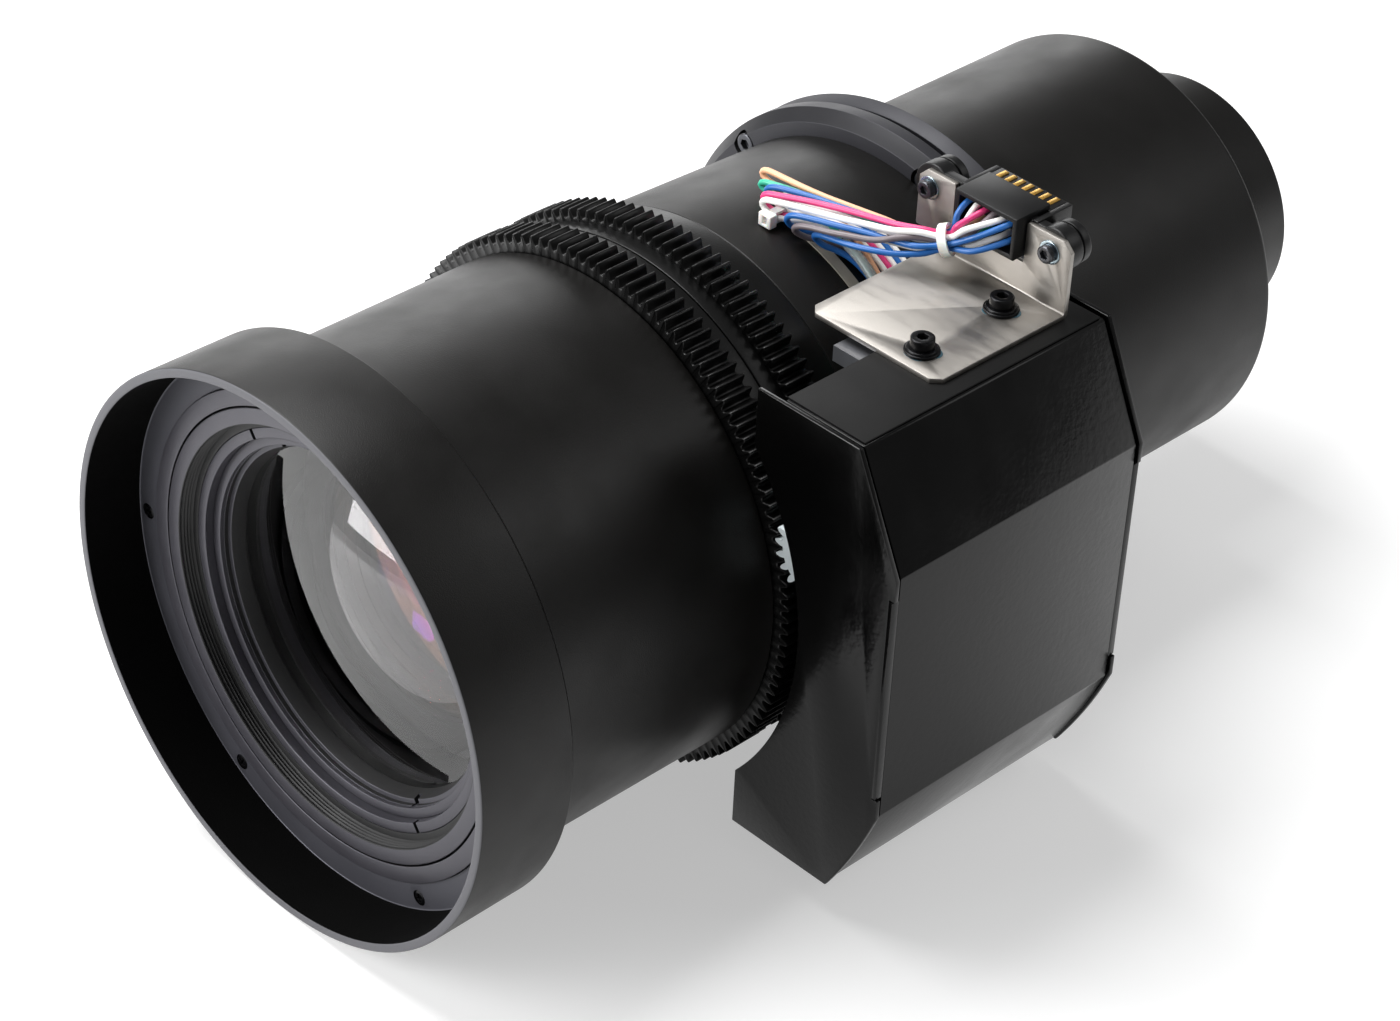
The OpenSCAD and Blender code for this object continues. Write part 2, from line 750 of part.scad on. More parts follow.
module focus_cell() {
  color("#242428")
  difference() {
    turned([
      [collar_mouth_r, y_collar],
      [collar_r, y_collar],
      [collar_r, y_collar + collar_t],
      [cell_r, y_collar + collar_t],
      [cell_r, y_focus_cell_rear],
      [cell_inner_r, y_focus_cell_rear],
      [cell_inner_r, y_cell_web_rear],
      [third_lens_r + fit_gap, y_cell_web_rear],
      [third_lens_r + fit_gap, y_third_lens],
      [third_lens_r - lens_seat_w, y_third_lens],
      [second_lens_r - lens_seat_w, y_second_lens_rear],
      [second_lens_r + fit_gap, y_second_lens_rear],
      [second_lens_r + fit_gap, y_second_lens],
      [front_lens_r - lens_step, y_front_lens_rear],
      [front_lens_r + fit_gap, y_front_lens_rear],
      [front_lens_r + fit_gap, y_front_lens],
      [retainer_hole_r, y_front_lens],
      [retainer_hole_r, y_retainer_rear],
      [retainer_r + fit_gap, y_retainer_rear],
      [retainer_r + fit_gap, y_retainer],
      [collar_mouth_r - collar_slope, y_retainer]
    ]);
    for (i = [0 : thread_grooves - 1])
      ring(collar_mouth_r + thread_groove_depth, collar_mouth_r - over,
        y_collar + (i + 1) * ring_depth / (thread_grooves + 1),
        y_collar + (i + 1) * ring_depth / (thread_grooves + 1) + thread_groove_w);
    cell_key_groove(y_focus_key, focus_travel, focus_half_turn);
    cell_guide_slot(y_focus_guide, focus_travel);
  }
}

retainer_notch_w = 2.2;
retainer_notch_depth = 1.6;
retainer_notch_angle = 125;
lens_notch_w = 1.6;
lens_notch_angle = -59;

// Two opposite notches across a ring's front face
module notches(y, r_out, w, depth, angle) {
  rotate([0, -angle, 0])
    translate([-r_out - over, y - over, -w / 2])
      cube([2 * (r_out + over), depth + over, w]);
}

module front_retaining_ring() {
  color("#2e2e33")
  difference() {
    ring(retainer_r, retainer_hole_r, y_retainer, y_retainer_rear);
    notches(y_retainer, retainer_r, retainer_notch_w, retainer_notch_depth, retainer_notch_angle);
  }
}

front_opening_r = front_opening_d / 2;
lens_retainer_outer_r = retainer_hole_r - fit_gap;
lens_retainer_face_w = 2.4;
lens_retainer_groove_w = 0.4;

module lens_retainer() {
  color("#2a2a2e")
  difference() {
    turned([
      [lens_retainer_outer_r, y_lens_retainer],
      [lens_retainer_outer_r, y_front_lens],
      [front_opening_r - lens_retainer_step, y_front_lens],
      [front_opening_r, y_lens_retainer + 2 * lens_retainer_step],
      [front_opening_r + lens_retainer_step, y_lens_retainer + 2 * lens_retainer_step],
      [front_opening_r + lens_retainer_step, y_lens_retainer + lens_retainer_step],
      [lens_retainer_outer_r - lens_retainer_face_w, y_lens_retainer + lens_retainer_step],
      [lens_retainer_outer_r - lens_retainer_face_w, y_lens_retainer]
    ]);
    ring(lens_retainer_outer_r - lens_retainer_groove_w, lens_retainer_outer_r - 2 * lens_retainer_groove_w,
      y_lens_retainer - over, y_lens_retainer + lens_retainer_groove_w);
    notches(y_lens_retainer, lens_retainer_outer_r - lens_retainer_face_w, lens_notch_w,
      2 * lens_retainer_step + retainer_notch_depth, lens_notch_angle);
  }
}

front_lens_rim = front_lens_r - front_opening_r + lens_retainer_step;

module front_lens() {
  color("#c8d4dc", 0.35)
  lens(front_lens_d, front_lens_rim, y_front_lens, y_front_lens_rear,
    front_lens_faces[0], front_lens_faces[1]);
}

module second_lens() {
  color("#c8d4dc", 0.35)
  lens(second_lens_d, lens_rim, y_second_lens, y_second_lens_rear,
    second_lens_faces[0], second_lens_faces[1]);
}

module third_lens() {
  color("#c8d4dc", 0.35)
  lens(third_lens_d, lens_rim, y_third_lens, y_third_lens_rear,
    third_lens_faces[0], third_lens_faces[1]);
}

// Zoom cell with its two lenses
zoom_cell_lead = 2.2;
zoom_cell_tail_gap = 3;
fourth_lens_r = fourth_lens_d / 2;
fifth_lens_r = fifth_lens_d / 2;
fourth_lens_t = 9;
fifth_lens_t = 5;
zoom_lens_setback = 8;
y_zoom_cell_front = y_zoom_key - zoom_travel - cell_key_half_w - zoom_cell_lead;
y_zoom_cell_rear = y_flange - spigot_len - zoom_travel - zoom_cell_tail_gap;
y_fourth_lens = y_zoom_cell_front + zoom_lens_setback;
y_fourth_lens_rear = y_fourth_lens + fourth_lens_t;
y_fifth_lens = y_fourth_lens_rear + 2 * lens_web_t;
y_fifth_lens_rear = y_fifth_lens + fifth_lens_t;

module zoom_cell() {
  color("#26262a")
  difference() {
    turned([
      [cell_inner_r, y_zoom_cell_front],
      [cell_r, y_zoom_cell_front],
      [cell_r, y_zoom_cell_rear],
      [cell_inner_r, y_zoom_cell_rear],
      [cell_inner_r, y_fifth_lens_rear],
      [fifth_lens_r + fit_gap, y_fifth_lens_rear],
      [fifth_lens_r + fit_gap, y_fifth_lens],
      [fifth_lens_r - lens_seat_w, y_fifth_lens],
      [fourth_lens_r - lens_seat_w, y_fourth_lens_rear],
      [fourth_lens_r + fit_gap, y_fourth_lens_rear],
      [fourth_lens_r + fit_gap, y_fourth_lens],
      [cell_inner_r, y_fourth_lens]
    ]);
    cell_key_groove(y_zoom_key, zoom_travel, zoom_half_turn);
    cell_guide_slot(y_zoom_guide, zoom_travel);
  }
}

module fourth_lens() {
  color("#c8d4dc", 0.35)
  lens(fourth_lens_d, lens_rim, y_fourth_lens, y_fourth_lens_rear,
    fourth_lens_faces[0], fourth_lens_faces[1]);
}

module fifth_lens() {
  color("#c8d4dc", 0.35)
  lens(fifth_lens_d, lens_rim, y_fifth_lens, y_fifth_lens_rear,
    fifth_lens_faces[0], fifth_lens_faces[1]);
}

// Motor box: outline of its end plates, as [x, z] points from the inner top edge round to the bottom
slope_steps = 8;
slope_bulge = 0.8;
cover_inset = 0.5;
plate_gap = 0.8;
y_box_front = -box_front;
y_box_rear = y_box_front + box_len;
y_cover_front = y_box_front + sheet_t + plate_gap;
y_cover_rear = y_box_rear - sheet_t - plate_gap;
slope_x = box_side_x - box_edge_x;
slope_z = box_half_h - box_flat_half_h;
slope_len = norm([slope_x, slope_z]);
film_inset = 6.4;
cover_inset_bottom = 2;
film_inner_x = box_inner_x + film_inset;
cover_bottom_x = box_inner_x + cover_inset_bottom;

// A point along the lower slope, pushed out a little at its middle
function slope_point(share) = [
  box_side_x - slope_x * share + slope_bulge * 4 * share * (1 - share) * slope_z / slope_len,
  -box_flat_half_h - slope_z * share - slope_bulge * 4 * share * (1 - share) * slope_x / slope_len
];
function box_line(x_top, x_bottom) = concat(
  [[x_top, box_half_h], [box_edge_x, box_half_h], [box_side_x, box_flat_half_h]],
  [for (i = [0 : slope_steps]) slope_point(i / slope_steps)],
  [[x_bottom, -box_half_h]]
);
function normal(a, b) = let (v = (b - a) / norm(b - a)) [-v[1], v[0]];

// The same line moved inwards by a distance
function inset_line(line, d) = [for (i = [0 : len(line) - 1])
  let (n1 = i > 0 ? normal(line[i - 1], line[i]) : normal(line[0], line[1]),
     n2 = i < len(line) - 1 ? normal(line[i], line[i + 1]) : n1)
  line[i] - d * (n1 + n2) / (1 + n1 * n2)];
function reversed(line) = [for (i = [len(line) - 1 : -1 : 0]) line[i]];

// Extrudes an [x, z] outline along the lens
module slab(y, t) {
  translate([0, y + t, 0]) rotate([90, 0, 0]) linear_extrude(t) children();
}

tab_half_h = 27.5;
tab_x = box_side_x - cover_inset - sheet_t;
post_d = 3.6;
post_side_inset = 6.5;
post_edge_inset = 15.2;
post_top_inset = 8;
post_places = [
  [box_side_x - post_side_inset, 0],
  [box_edge_x - post_edge_inset, box_half_h - post_top_inset],
  [box_edge_x - post_edge_inset, -box_half_h + post_top_inset]
];

module box_plate(y, arc_r) {
  difference() {
    slab(y, sheet_t) polygon(box_line(box_inner_x, box_inner_x));
    along_y(y - over) cylinder(h = sheet_t + 2 * over, r = arc_r);
    translate([tab_x, y - over, -tab_half_h])
      cube([sheet_t + 2 * over, sheet_t + 2 * over, 2 * tab_half_h]);
  }
}

module box_front_plate() {
  color("#18181a") box_plate(y_box_front, front_arc_r);
}

module box_rear_plate() {
  color("#18181a") box_plate(y_box_rear - sheet_t, rear_arc_r);
}

module box_cover() {
  outer = inset_line(box_line(film_inner_x, cover_bottom_x), cover_inset);
  inner = inset_line(box_line(film_inner_x, cover_bottom_x), cover_inset + sheet_t);
  color("#121213") {
    difference() {
      slab(y_cover_front, y_cover_rear - y_cover_front) polygon(concat(outer, reversed(inner)));
      bracket_screw_holes(z_film - sheet_t, sheet_t);
    }
    for (y = [y_box_front, y_cover_rear])
      translate([tab_x, y, -tab_half_h + run_gap])
        cube([sheet_t, sheet_t + plate_gap, 2 * (tab_half_h - run_gap)]);
  }
}

// Matte insulating sheet on top of the box
z_film = box_half_h - cover_inset;
film_front_gap = 0.7;
film_outer_inset = 1;

module box_top_plate() {
  color("#222222")
  difference() {
    translate([film_inner_x, y_cover_front + film_front_gap, z_film])
      cube([box_edge_x - film_outer_inset - film_inner_x, y_cover_rear - y_cover_front - 2 * film_front_gap,
        cover_inset]);
    bracket_screw_holes(z_film, cover_inset);
  }
}

module box_posts() {
  color("#7c7c80")
  for (p = post_places)
    translate([p[0], 0, p[1]])
      along_y(y_box_front + sheet_t)
        cylinder(h = box_len - 2 * sheet_t, r = post_d / 2, $fn = small_fn);
}

// Bracket screws: through the bracket, the sheets and into the shelf of the motor frame
bracket_screw_x = 68;
bracket_screw_front = 69.3;
bracket_screw_rear = 43.7;
bracket_screw_d = 3;
bracket_screw_head_d = 5.6;
bracket_screw_head_h = 3;
bracket_screw_len = 6;
bracket_socket = 2.5;
washer_d = 8.2;
washer_t = 0.7;
z_bracket = box_half_h + bracket_t;

module at_bracket_screws(z) {
  for (y = [bracket_screw_front, bracket_screw_rear]) translate([bracket_screw_x, -y, z]) children();
}

module bracket_screw_holes(z, t) {
  at_bracket_screws(z - over)
    cylinder(h = t + 2 * over, r = bracket_screw_d / 2 + fit_gap, $fn = small_fn);
}

// Motor frame: a plate across the box, a saddle on the barrel and a shelf under the top sheet
motor_plate_t = 2;
motor_plate_lag = 3.3;
y_motor_plate = y_zoom_gear_rear + motor_plate_lag;
y_gearbox = y_motor_plate + motor_plate_t;
motor_plate_arc_r = 63;
motor_plate_x = 94;
motor_plate_half_h = 56;
motor_plate_chamfer_x = 12;
motor_plate_chamfer_z = 22;
saddle_half_h = 11;
saddle_x = 66;
saddle_rear = 30;
saddle_lap = 2.4;
shelf_x = 51;
shelf_w = 29;
shelf_t = 4;
shelf_front = 79;
plate_inner_inset = 4;
plate_inner_x = box_inner_x + plate_inner_inset;
z_shelf = z_film - sheet_t - shelf_t;
screw_hole_play = 0.25;
frame_screw_places = [-58, -38];
frame_screw_d = 3;
frame_screw_head_d = 5.5;
frame_screw_head_h = 3;
frame_screw_r0 = 56;
gear_clear = 0.15;
sensor_gear_clear = 0.1;
centre_dist = gear_module * (ring_teeth + pinion_teeth) / 2 + gear_clear;
sensor_dist = gear_module * pinion_teeth + sensor_gear_clear;
sensor_dir = 71;
focus_angle = motor_angle;
zoom_angle = -motor_angle;
function polar(r, a) = [r * cos(a), r * sin(a)];
focus_axis = polar(centre_dist, focus_angle);
zoom_axis = polar(centre_dist, zoom_angle);
focus_sensor_axis = focus_axis + polar(sensor_dist, sensor_dir);
zoom_sensor_axis = zoom_axis + polar(sensor_dist, -sensor_dir);
sensor_shaft_d = 3;

// Outer radius of the middle barrel at a station
function mid_r(y) = mid_front_r + (mid_rear_r - mid_front_r) * (y - y_mid_front) / mid_len;

module at_axis(p, y) {
  translate([p[0], 0, p[1]]) along_y(y) children();
}

module saddle_screw_holes() {
  for (y = frame_screw_places)
    radial(0, frame_screw_r0 - over, y)
      cylinder(h = mid_front_r, r = frame_screw_d / 2 + fit_gap, $fn = small_fn);
}

module motor_frame() {
  color("#8a8a8e")
  difference() {
    union() {
      slab(y_motor_plate, motor_plate_t)
        polygon([
          [plate_inner_x, motor_plate_half_h],
          [motor_plate_x - motor_plate_chamfer_x, motor_plate_half_h],
          [motor_plate_x, motor_plate_half_h - motor_plate_chamfer_z],
          [motor_plate_x, -motor_plate_half_h + motor_plate_chamfer_z],
          [motor_plate_x - motor_plate_chamfer_x, -motor_plate_half_h],
          [plate_inner_x, -motor_plate_half_h]
        ]);
      intersection() {
        turned([
          [mid_r(y_mid_front + saddle_lap) + fit_gap, y_mid_front + saddle_lap],
          [mid_r(-saddle_rear) + fit_gap, -saddle_rear],
          [box_side_x, -saddle_rear],
          [box_side_x, y_motor_plate],
          [motor_plate_arc_r, y_motor_plate],
          [motor_plate_arc_r, y_mid_front + saddle_lap]
        ]);
        translate([0, y_motor_plate, -saddle_half_h])
          cube([saddle_x, -y_motor_plate, 2 * saddle_half_h]);
      }
      translate([shelf_x, -shelf_front, z_shelf])
        cube([shelf_w, shelf_front - saddle_rear, shelf_t]);
    }
    along_y(y_motor_plate - over) cylinder(h = motor_plate_t + over, r = motor_plate_arc_r);
    for (p = post_places)
      at_axis(p, -shelf_front - over)
        cylinder(h = shelf_front, r = post_d / 2 + run_gap, $fn = small_fn);
    for (p = [focus_axis, zoom_axis])
      at_axis(p, y_motor_plate - over)
        cylinder(h = motor_plate_t + 2 * over, r = shaft_d / 2 + run_gap, $fn = small_fn);
    at_axis(zoom_sensor_axis, y_motor_plate - over)
      cylinder(h = motor_plate_t + 2 * over, r = sensor_shaft_d / 2 + run_gap, $fn = small_fn);
    for (y = frame_screw_places)
      radial(0, frame_screw_r0, y)
        cylinder(h = mid_front_r, r = frame_screw_d / 2 + fit_gap, $fn = small_fn);
    bracket_screw_holes(z_shelf, shelf_t);
  }
}

module frame_screws() {
  color("#2a2a2c")
  for (y = frame_screw_places) {
    radial(0, frame_screw_r0, y)
      cylinder(h = saddle_x - frame_screw_r0, r = frame_screw_d / 2, $fn = small_fn);
    radial(0, saddle_x, y)
      cylinder(h = frame_screw_head_h, r = frame_screw_head_d / 2, $fn = small_fn);
  }
}

// Gear plate ahead of the motor plate, with its three posts
gear_plate_t = 1.5;
gear_plate_lag = 3.4;
y_gear_plate = y_focus_gear_rear + gear_plate_lag;
gear_plate_arc_r = 66.6;
gear_plate_half_h = 52;
gear_plate_x = 90;
gear_post_d = 5;
gear_post_places = [[80, 0], [63, 47], [63, -47]];

module gear_plate() {
  color("#96969a")
  difference() {
    slab(y_gear_plate, gear_plate_t)
      polygon([
        [plate_inner_x, gear_plate_half_h],
        [gear_plate_x - motor_plate_chamfer_x, gear_plate_half_h],
        [gear_plate_x, gear_plate_half_h - motor_plate_chamfer_z],
        [gear_plate_x, -gear_plate_half_h + motor_plate_chamfer_z],
        [gear_plate_x - motor_plate_chamfer_x, -gear_plate_half_h],
        [plate_inner_x, -gear_plate_half_h]
      ]);
    along_y(y_gear_plate - over) cylinder(h = gear_plate_t + 2 * over, r = gear_plate_arc_r);
    for (p = post_places)
      at_axis(p, y_gear_plate - over)
        cylinder(h = gear_plate_t + 2 * over, r = post_d / 2 + run_gap, $fn = small_fn);
    at_axis(focus_axis, y_gear_plate - over)
      cylinder(h = gear_plate_t + 2 * over, r = shaft_d / 2 + fit_gap, $fn = small_fn);
    at_axis(focus_sensor_axis, y_gear_plate - over)
      cylinder(h = gear_plate_t + 2 * over, r = sensor_shaft_d / 2 + run_gap, $fn = small_fn);
  }
}

module gear_plate_posts() {
  color("#7c7c80")
  for (p = gear_post_places)
    at_axis(p, y_gear_plate + gear_plate_t)
      cylinder(h = y_motor_plate - y_gear_plate - gear_plate_t, r = gear_post_d / 2, $fn = small_fn);
}

// Gearboxes, motors, pinions and position sensors
gearbox_bore_depth = 6;
motor_cap_t = 2;
motor_cap_d = 8;

module gearbox(p) {
  difference() {
    at_axis(p, y_gearbox) cylinder(h = gearbox_len, r = gearbox_d / 2);
    at_axis(p, y_gearbox - over)
      cylinder(h = gearbox_bore_depth + over, r = shaft_d / 2 + fit_gap, $fn = small_fn);
  }
}

module focus_gearbox() {
  color("#55565a") gearbox(focus_axis);
}

module zoom_gearbox() {
  color("#55565a") gearbox(zoom_axis);
}

module motor(p) {
  at_axis(p, y_gearbox + gearbox_len) {
    cylinder(h = motor_len - motor_cap_t, r = motor_d / 2);
    cylinder(h = motor_len, r = motor_cap_d / 2, $fn = small_fn);
  }
}

module focus_motor() {
  color("#a4a4a8") motor(focus_axis);
}

module zoom_motor() {
  color("#a4a4a8") motor(zoom_axis);
}

// Turn of a pinion's first tooth at which it meshes with the ring at an angle round the lens
function pinion_phase(a) = -(a + 180 + a * ring_teeth / pinion_teeth + 180 / pinion_teeth);
function mesh_phase(own, dir) = -(dir + 180 + (dir + own) + 180 / pinion_teeth);

module pinion(p, a, y) {
  at_axis(p, y) spur_gear(pinion_teeth, ring_gear_w, flank_steps, pinion_phase(a));
  at_axis(p, y)
    cylinder(h = y_gearbox + gearbox_bore_depth - y, r = shaft_d / 2, $fn = small_fn);
}

module focus_pinion() {
  color("#d8d4c8") pinion(focus_axis, focus_angle, y_focus_front);
}

module zoom_pinion() {
  color("#d8d4c8") pinion(zoom_axis, zoom_angle, y_zoom_gear_front);
}

sensor_gear_w = 4;
sensor_len = 9;
sensor_bore_depth = 5;
y_focus_sensor = y_gear_plate + gear_plate_t;
y_zoom_sensor = y_motor_plate + motor_plate_t;
y_focus_sensor_gear = y_focus_gear_rear - sensor_gear_w;
y_zoom_sensor_gear = y_zoom_gear_rear - sensor_gear_w;

module sensor(p, y) {
  difference() {
    at_axis(p, y) cylinder(h = sensor_len, r = sensor_d / 2);
    at_axis(p, y - over)
      cylinder(h = sensor_bore_depth + over, r = sensor_shaft_d / 2 + fit_gap, $fn = small_fn);
  }
}

module sensor_gear(p, y, y_sensor, phase) {
  at_axis(p, y) spur_gear(pinion_teeth, sensor_gear_w, flank_steps, phase);
  at_axis(p, y)
    cylinder(h = y_sensor + sensor_bore_depth - y, r = sensor_shaft_d / 2, $fn = small_fn);
}

module focus_sensor() {
  color("#2c4a78") sensor(focus_sensor_axis, y_focus_sensor);
}

module zoom_sensor() {
  color("#2c4a78") sensor(zoom_sensor_axis, y_zoom_sensor);
}

module focus_sensor_gear() {
  color("#d8d4c8")
  sensor_gear(focus_sensor_axis, y_focus_sensor_gear, y_focus_sensor,
    mesh_phase(pinion_phase(focus_angle), sensor_dir));
}

module zoom_sensor_gear() {
  color("#d8d4c8")
  sensor_gear(zoom_sensor_axis, y_zoom_sensor_gear, y_zoom_sensor,
    mesh_phase(pinion_phase(zoom_angle), -sensor_dir));
}

// Terminal board under the shelf, where the wires end
board_x = 57;
board_w = 9;
board_t = 1.6;
board_front = 60;
board_len = 26;
header_w = 3;
header_h = 2.7;
header_front = 56;
header_len = 18;
standoff_d = 4;
standoff_x = 63.5;
standoff_inset = 3;
standoff_h = 3;
z_board_top = z_shelf - standoff_h;

module terminal_board() {
  color("#2e6b3c") {
    translate([board_x, -board_front, z_board_top - board_t]) cube([board_w, board_len, board_t]);
    translate([board_x, -header_front, z_board_top]) cube([header_w, header_len, header_h]);
    for (y = [-board_front + standoff_inset, -board_front + board_len - standoff_inset])
      translate([standoff_x, y, z_board_top]) cylinder(h = standoff_h, r = standoff_d / 2, $fn = small_fn);
  }
}

// Bright angle bracket
bracket_x = 40;
bracket_outer_x = 78.7;
bracket_front = 76;
bracket_corner = 2.2;
tab_left_x = 33.5;
tab_low_z = 64.4;
notch_x = 44.3;
notch_w = 21.4;
notch_z = 69;
tab_screw_x = [36.7, 72.8];
tab_screw_z = 75;
tab_screw_d = 2.6;
tab_screw_head_d = 4.6;
tab_screw_head_h = 2;
tab_screw_len = 7;
tab_socket = 2;
y_upright = -bracket_front + bracket_len - bracket_t;
z_tab = z_bracket + bracket_h;

module connector_bracket() {
  color("#c9c6c0")
  difference() {
    union() {
      translate([0, 0, box_half_h]) linear_extrude(bracket_t)
        polygon([
          [bracket_x + bracket_corner, -bracket_front],
          [bracket_outer_x - bracket_corner, -bracket_front],
          [bracket_outer_x, -bracket_front + bracket_corner],
          [bracket_outer_x, y_upright + bracket_t],
          [bracket_x, y_upright + bracket_t],
          [bracket_x, -bracket_front + bracket_corner]
        ]);
      slab(y_upright, bracket_t)
        polygon([
          [bracket_x, box_half_h],
          [bracket_outer_x, box_half_h],
          [bracket_outer_x, z_tab - bracket_corner],
          [bracket_outer_x - bracket_corner, z_tab],
          [notch_x + notch_w, z_tab],
          [notch_x + notch_w, notch_z],
          [notch_x, notch_z],
          [notch_x, z_tab],
          [tab_left_x + bracket_corner, z_tab],
          [tab_left_x, z_tab - bracket_corner],
          [tab_left_x, tab_low_z],
          [bracket_x, tab_low_z]
        ]);
    }
    bracket_screw_holes(box_half_h, bracket_t);
    for (x = tab_screw_x)
      translate([x, 0, tab_screw_z]) along_y(y_upright - over)
        cylinder(h = bracket_t + 2 * over, r = tab_screw_d / 2 + screw_hole_play, $fn = small_fn);
  }
}

module bracket_screws() {
  color("#1c1c1e")
  at_bracket_screws(z_bracket + washer_t)
    difference() {
      union() {
        cylinder(h = bracket_screw_head_h, r = bracket_screw_head_d / 2, $fn = small_fn);
        translate([0, 0, -washer_t - bracket_screw_len])
          cylinder(h = washer_t + bracket_screw_len, r = bracket_screw_d / 2, $fn = small_fn);
      }
      translate([0, 0, bracket_screw_head_h]) socket(bracket_socket, bracket_screw_head_h / 2);
    }
}

module bracket_washers() {
  color("#303033")
  at_bracket_screws(z_bracket)
    difference() {
      cylinder(h = washer_t, r = washer_d / 2, $fn = small_fn);
      translate([0, 0, -over])
        cylinder(h = washer_t + 2 * over, r = bracket_screw_d / 2 + fit_gap, $fn = small_fn);
    }
}

// Connector: hollow wire side through the notch, flange with round ears, and a plug side
connector_x = 56.3;
connector_top_z = 81;
connector_front = 38.2;
connector_rear = 27;
pocket_wall = 1.2;
pocket_depth = 5.2;
connector_flange_t = 2.6;
connector_flange_h = 9;
ear_r = 5.4;
ear_len = 7;
tongue_w = 19.6;
tongue_t = 4.6;
tongue_len = 5;
wing_w = 1.6;
wing_h = 8;
wing_len = 6.4;
wing_x = 10.6;
contacts_n = 7;
contact_w = 1.3;
contact_t = 0.2;
contact_inset = 0.6;
y_connector_front = -connector_front;
y_connector_rear = -connector_rear;
y_flange_face = y_upright + bracket_t;
y_pocket = y_connector_front + pocket_depth;
z_connector = connector_top_z - connector_h;
z_tongue = connector_top_z - pocket_wall - tongue_t;

module connector_body() {
  color("#1a1a1b")
  difference() {
    union() {
      translate([connector_x - connector_w / 2, y_connector_front, z_connector])
        cube([connector_w, connector_front - connector_rear, connector_h]);
      translate([tab_screw_x[0], y_flange_face, tab_screw_z - connector_flange_h / 2])
        cube([tab_screw_x[1] - tab_screw_x[0], connector_flange_t, connector_flange_h]);
      for (x = tab_screw_x)
        translate([x, 0, tab_screw_z]) along_y(y_flange_face)
          cylinder(h = ear_len, r = ear_r, $fn = small_fn);
      translate([connector_x - tongue_w / 2, y_connector_rear - over, z_tongue])
        cube([tongue_w, tongue_len + over, tongue_t]);
      for (side = [-1, 1])
        translate([connector_x + side * wing_x - wing_w / 2, y_flange_face, connector_top_z - wing_h])
          cube([wing_w, wing_len + connector_flange_t + connector_flange_t, wing_h - pocket_wall]);
    }
    translate([connector_x - connector_w / 2 + pocket_wall, y_connector_front - over, z_connector + pocket_wall])
      cube([connector_w - 2 * pocket_wall, pocket_depth + over, connector_h - 2 * pocket_wall]);
    for (x = tab_screw_x)
      translate([x, 0, tab_screw_z]) along_y(y_flange_face - over)
        cylinder(h = tab_screw_len - bracket_t + over, r = tab_screw_d / 2 + fit_gap, $fn = small_fn);
  }
}

module connector_contacts() {
  color("#c79a3e")
  for (i = [0 : contacts_n - 1], z = [z_tongue - contact_t, z_tongue + tongue_t])
    translate([connector_x + (i - (contacts_n - 1) / 2) * contact_pitch - contact_w / 2, y_connector_rear, z])
      cube([contact_w, tongue_len - contact_inset, contact_t]);
}

module connector_screws() {
  color("#2a2a2e")
  for (x = tab_screw_x)
    translate([x, 0, tab_screw_z]) {
      along_y(y_upright)
        cylinder(h = tab_screw_len, r = tab_screw_d / 2, $fn = small_fn);
      difference() {
        along_y(y_upright - tab_screw_head_h)
          cylinder(h = tab_screw_head_h, r = tab_screw_head_d / 2, $fn = small_fn);
        along_y(y_upright - tab_screw_head_h)
          mirror([0, 0, 1]) socket(tab_socket, tab_screw_head_h / 2);
      }
    }
}

// Wires: each runs from the connector's pocket through a tie, out over the barrel,
// turns under itself and comes back along the barrel to the terminal board
wire_r = wire_d / 2;
wire_sides = 8;
wire_step = 4;
x_header = board_x;
z_header = z_board_top + header_h / 2;

blue_a = [
  [44, -43.2, 70.1], [38, -44.6, 69], [32, -45.2, 68.2], [26, -45.8, 67.6], [20, -46.5, 67],
  [14, -47, 66.4], [8, -48, 65.8], [3.2, -49, 65.2], [0.9, -49.3, 64.2], [0.2, -49.2, 63],
  [1.2, -49.1, 61.9], [4, -49, 61.7], [8.4, -48.6, 61.5], [12, -46, 61.5], [16, -42.3, 60.5],
  [20, -39.3, 59.3], [24, -37.6, 57.8], [30, -37.2, 54.6], [37, -38.1, 51.3], [45, -40, 51]
];
white_a = [
  [44.4, -46, 71.3], [38.5, -48.3, 70], [32, -49.3, 68.8], [26, -50.8, 68], [20, -52.1, 67.3],
  [14, -53.3, 66.6], [8, -54.2, 65.6], [5, -54.4, 64.8], [3.8, -54.3, 63.6], [4.2, -54.1, 62.4],
  [6, -53.9, 61.5], [9, -53.5, 61.4], [12, -51.4, 61.5], [16, -48, 60.5], [20, -45, 59.3],
  [24, -42.4, 57.8], [30, -42, 54.6], [37, -42.9, 51.4], [45, -45.2, 51.2]
];
pink = [
  [44, -44.7, 71.4], [38, -46.2, 70.4], [32, -46.9, 69.5], [26, -47.8, 68.7], [20, -49, 67.9],
  [14, -50.4, 67.1], [8, -52, 66.2], [3.8, -52.7, 65.2], [2.6, -52.8, 64], [2.9, -52.6, 62.6],
  [4.6, -52.4, 61.6], [8.6, -52, 61.4], [12, -49.6, 61.5], [16, -46.1, 60.5], [20, -43.1, 59.3],
  [24, -40.8, 57.8], [30, -40.4, 54.6], [37, -41.3, 51.3], [45, -43.4, 51]
];
teal = [
  [44, -42.7, 67.7], [38, -43.9, 66.7], [32, -44.4, 66.5], [26, -44.9, 66], [20, -45.3, 65.6],
  [14, -45.9, 65.2], [8, -46.6, 65], [2, -47.6, 64.6], [-1.8, -48, 64], [-3, -48, 62.9],
  [-1.8, -47.7, 61.9], [2, -47.3, 61.7], [6, -47, 62], [10, -46.9, 63], [14, -46.9, 62.8],
  [18, -46.7, 61.6], [22, -46.4, 59.2], [28, -46.2, 56.3], [34, -46.8, 52.8], [42, -51.6, 51.1]
];
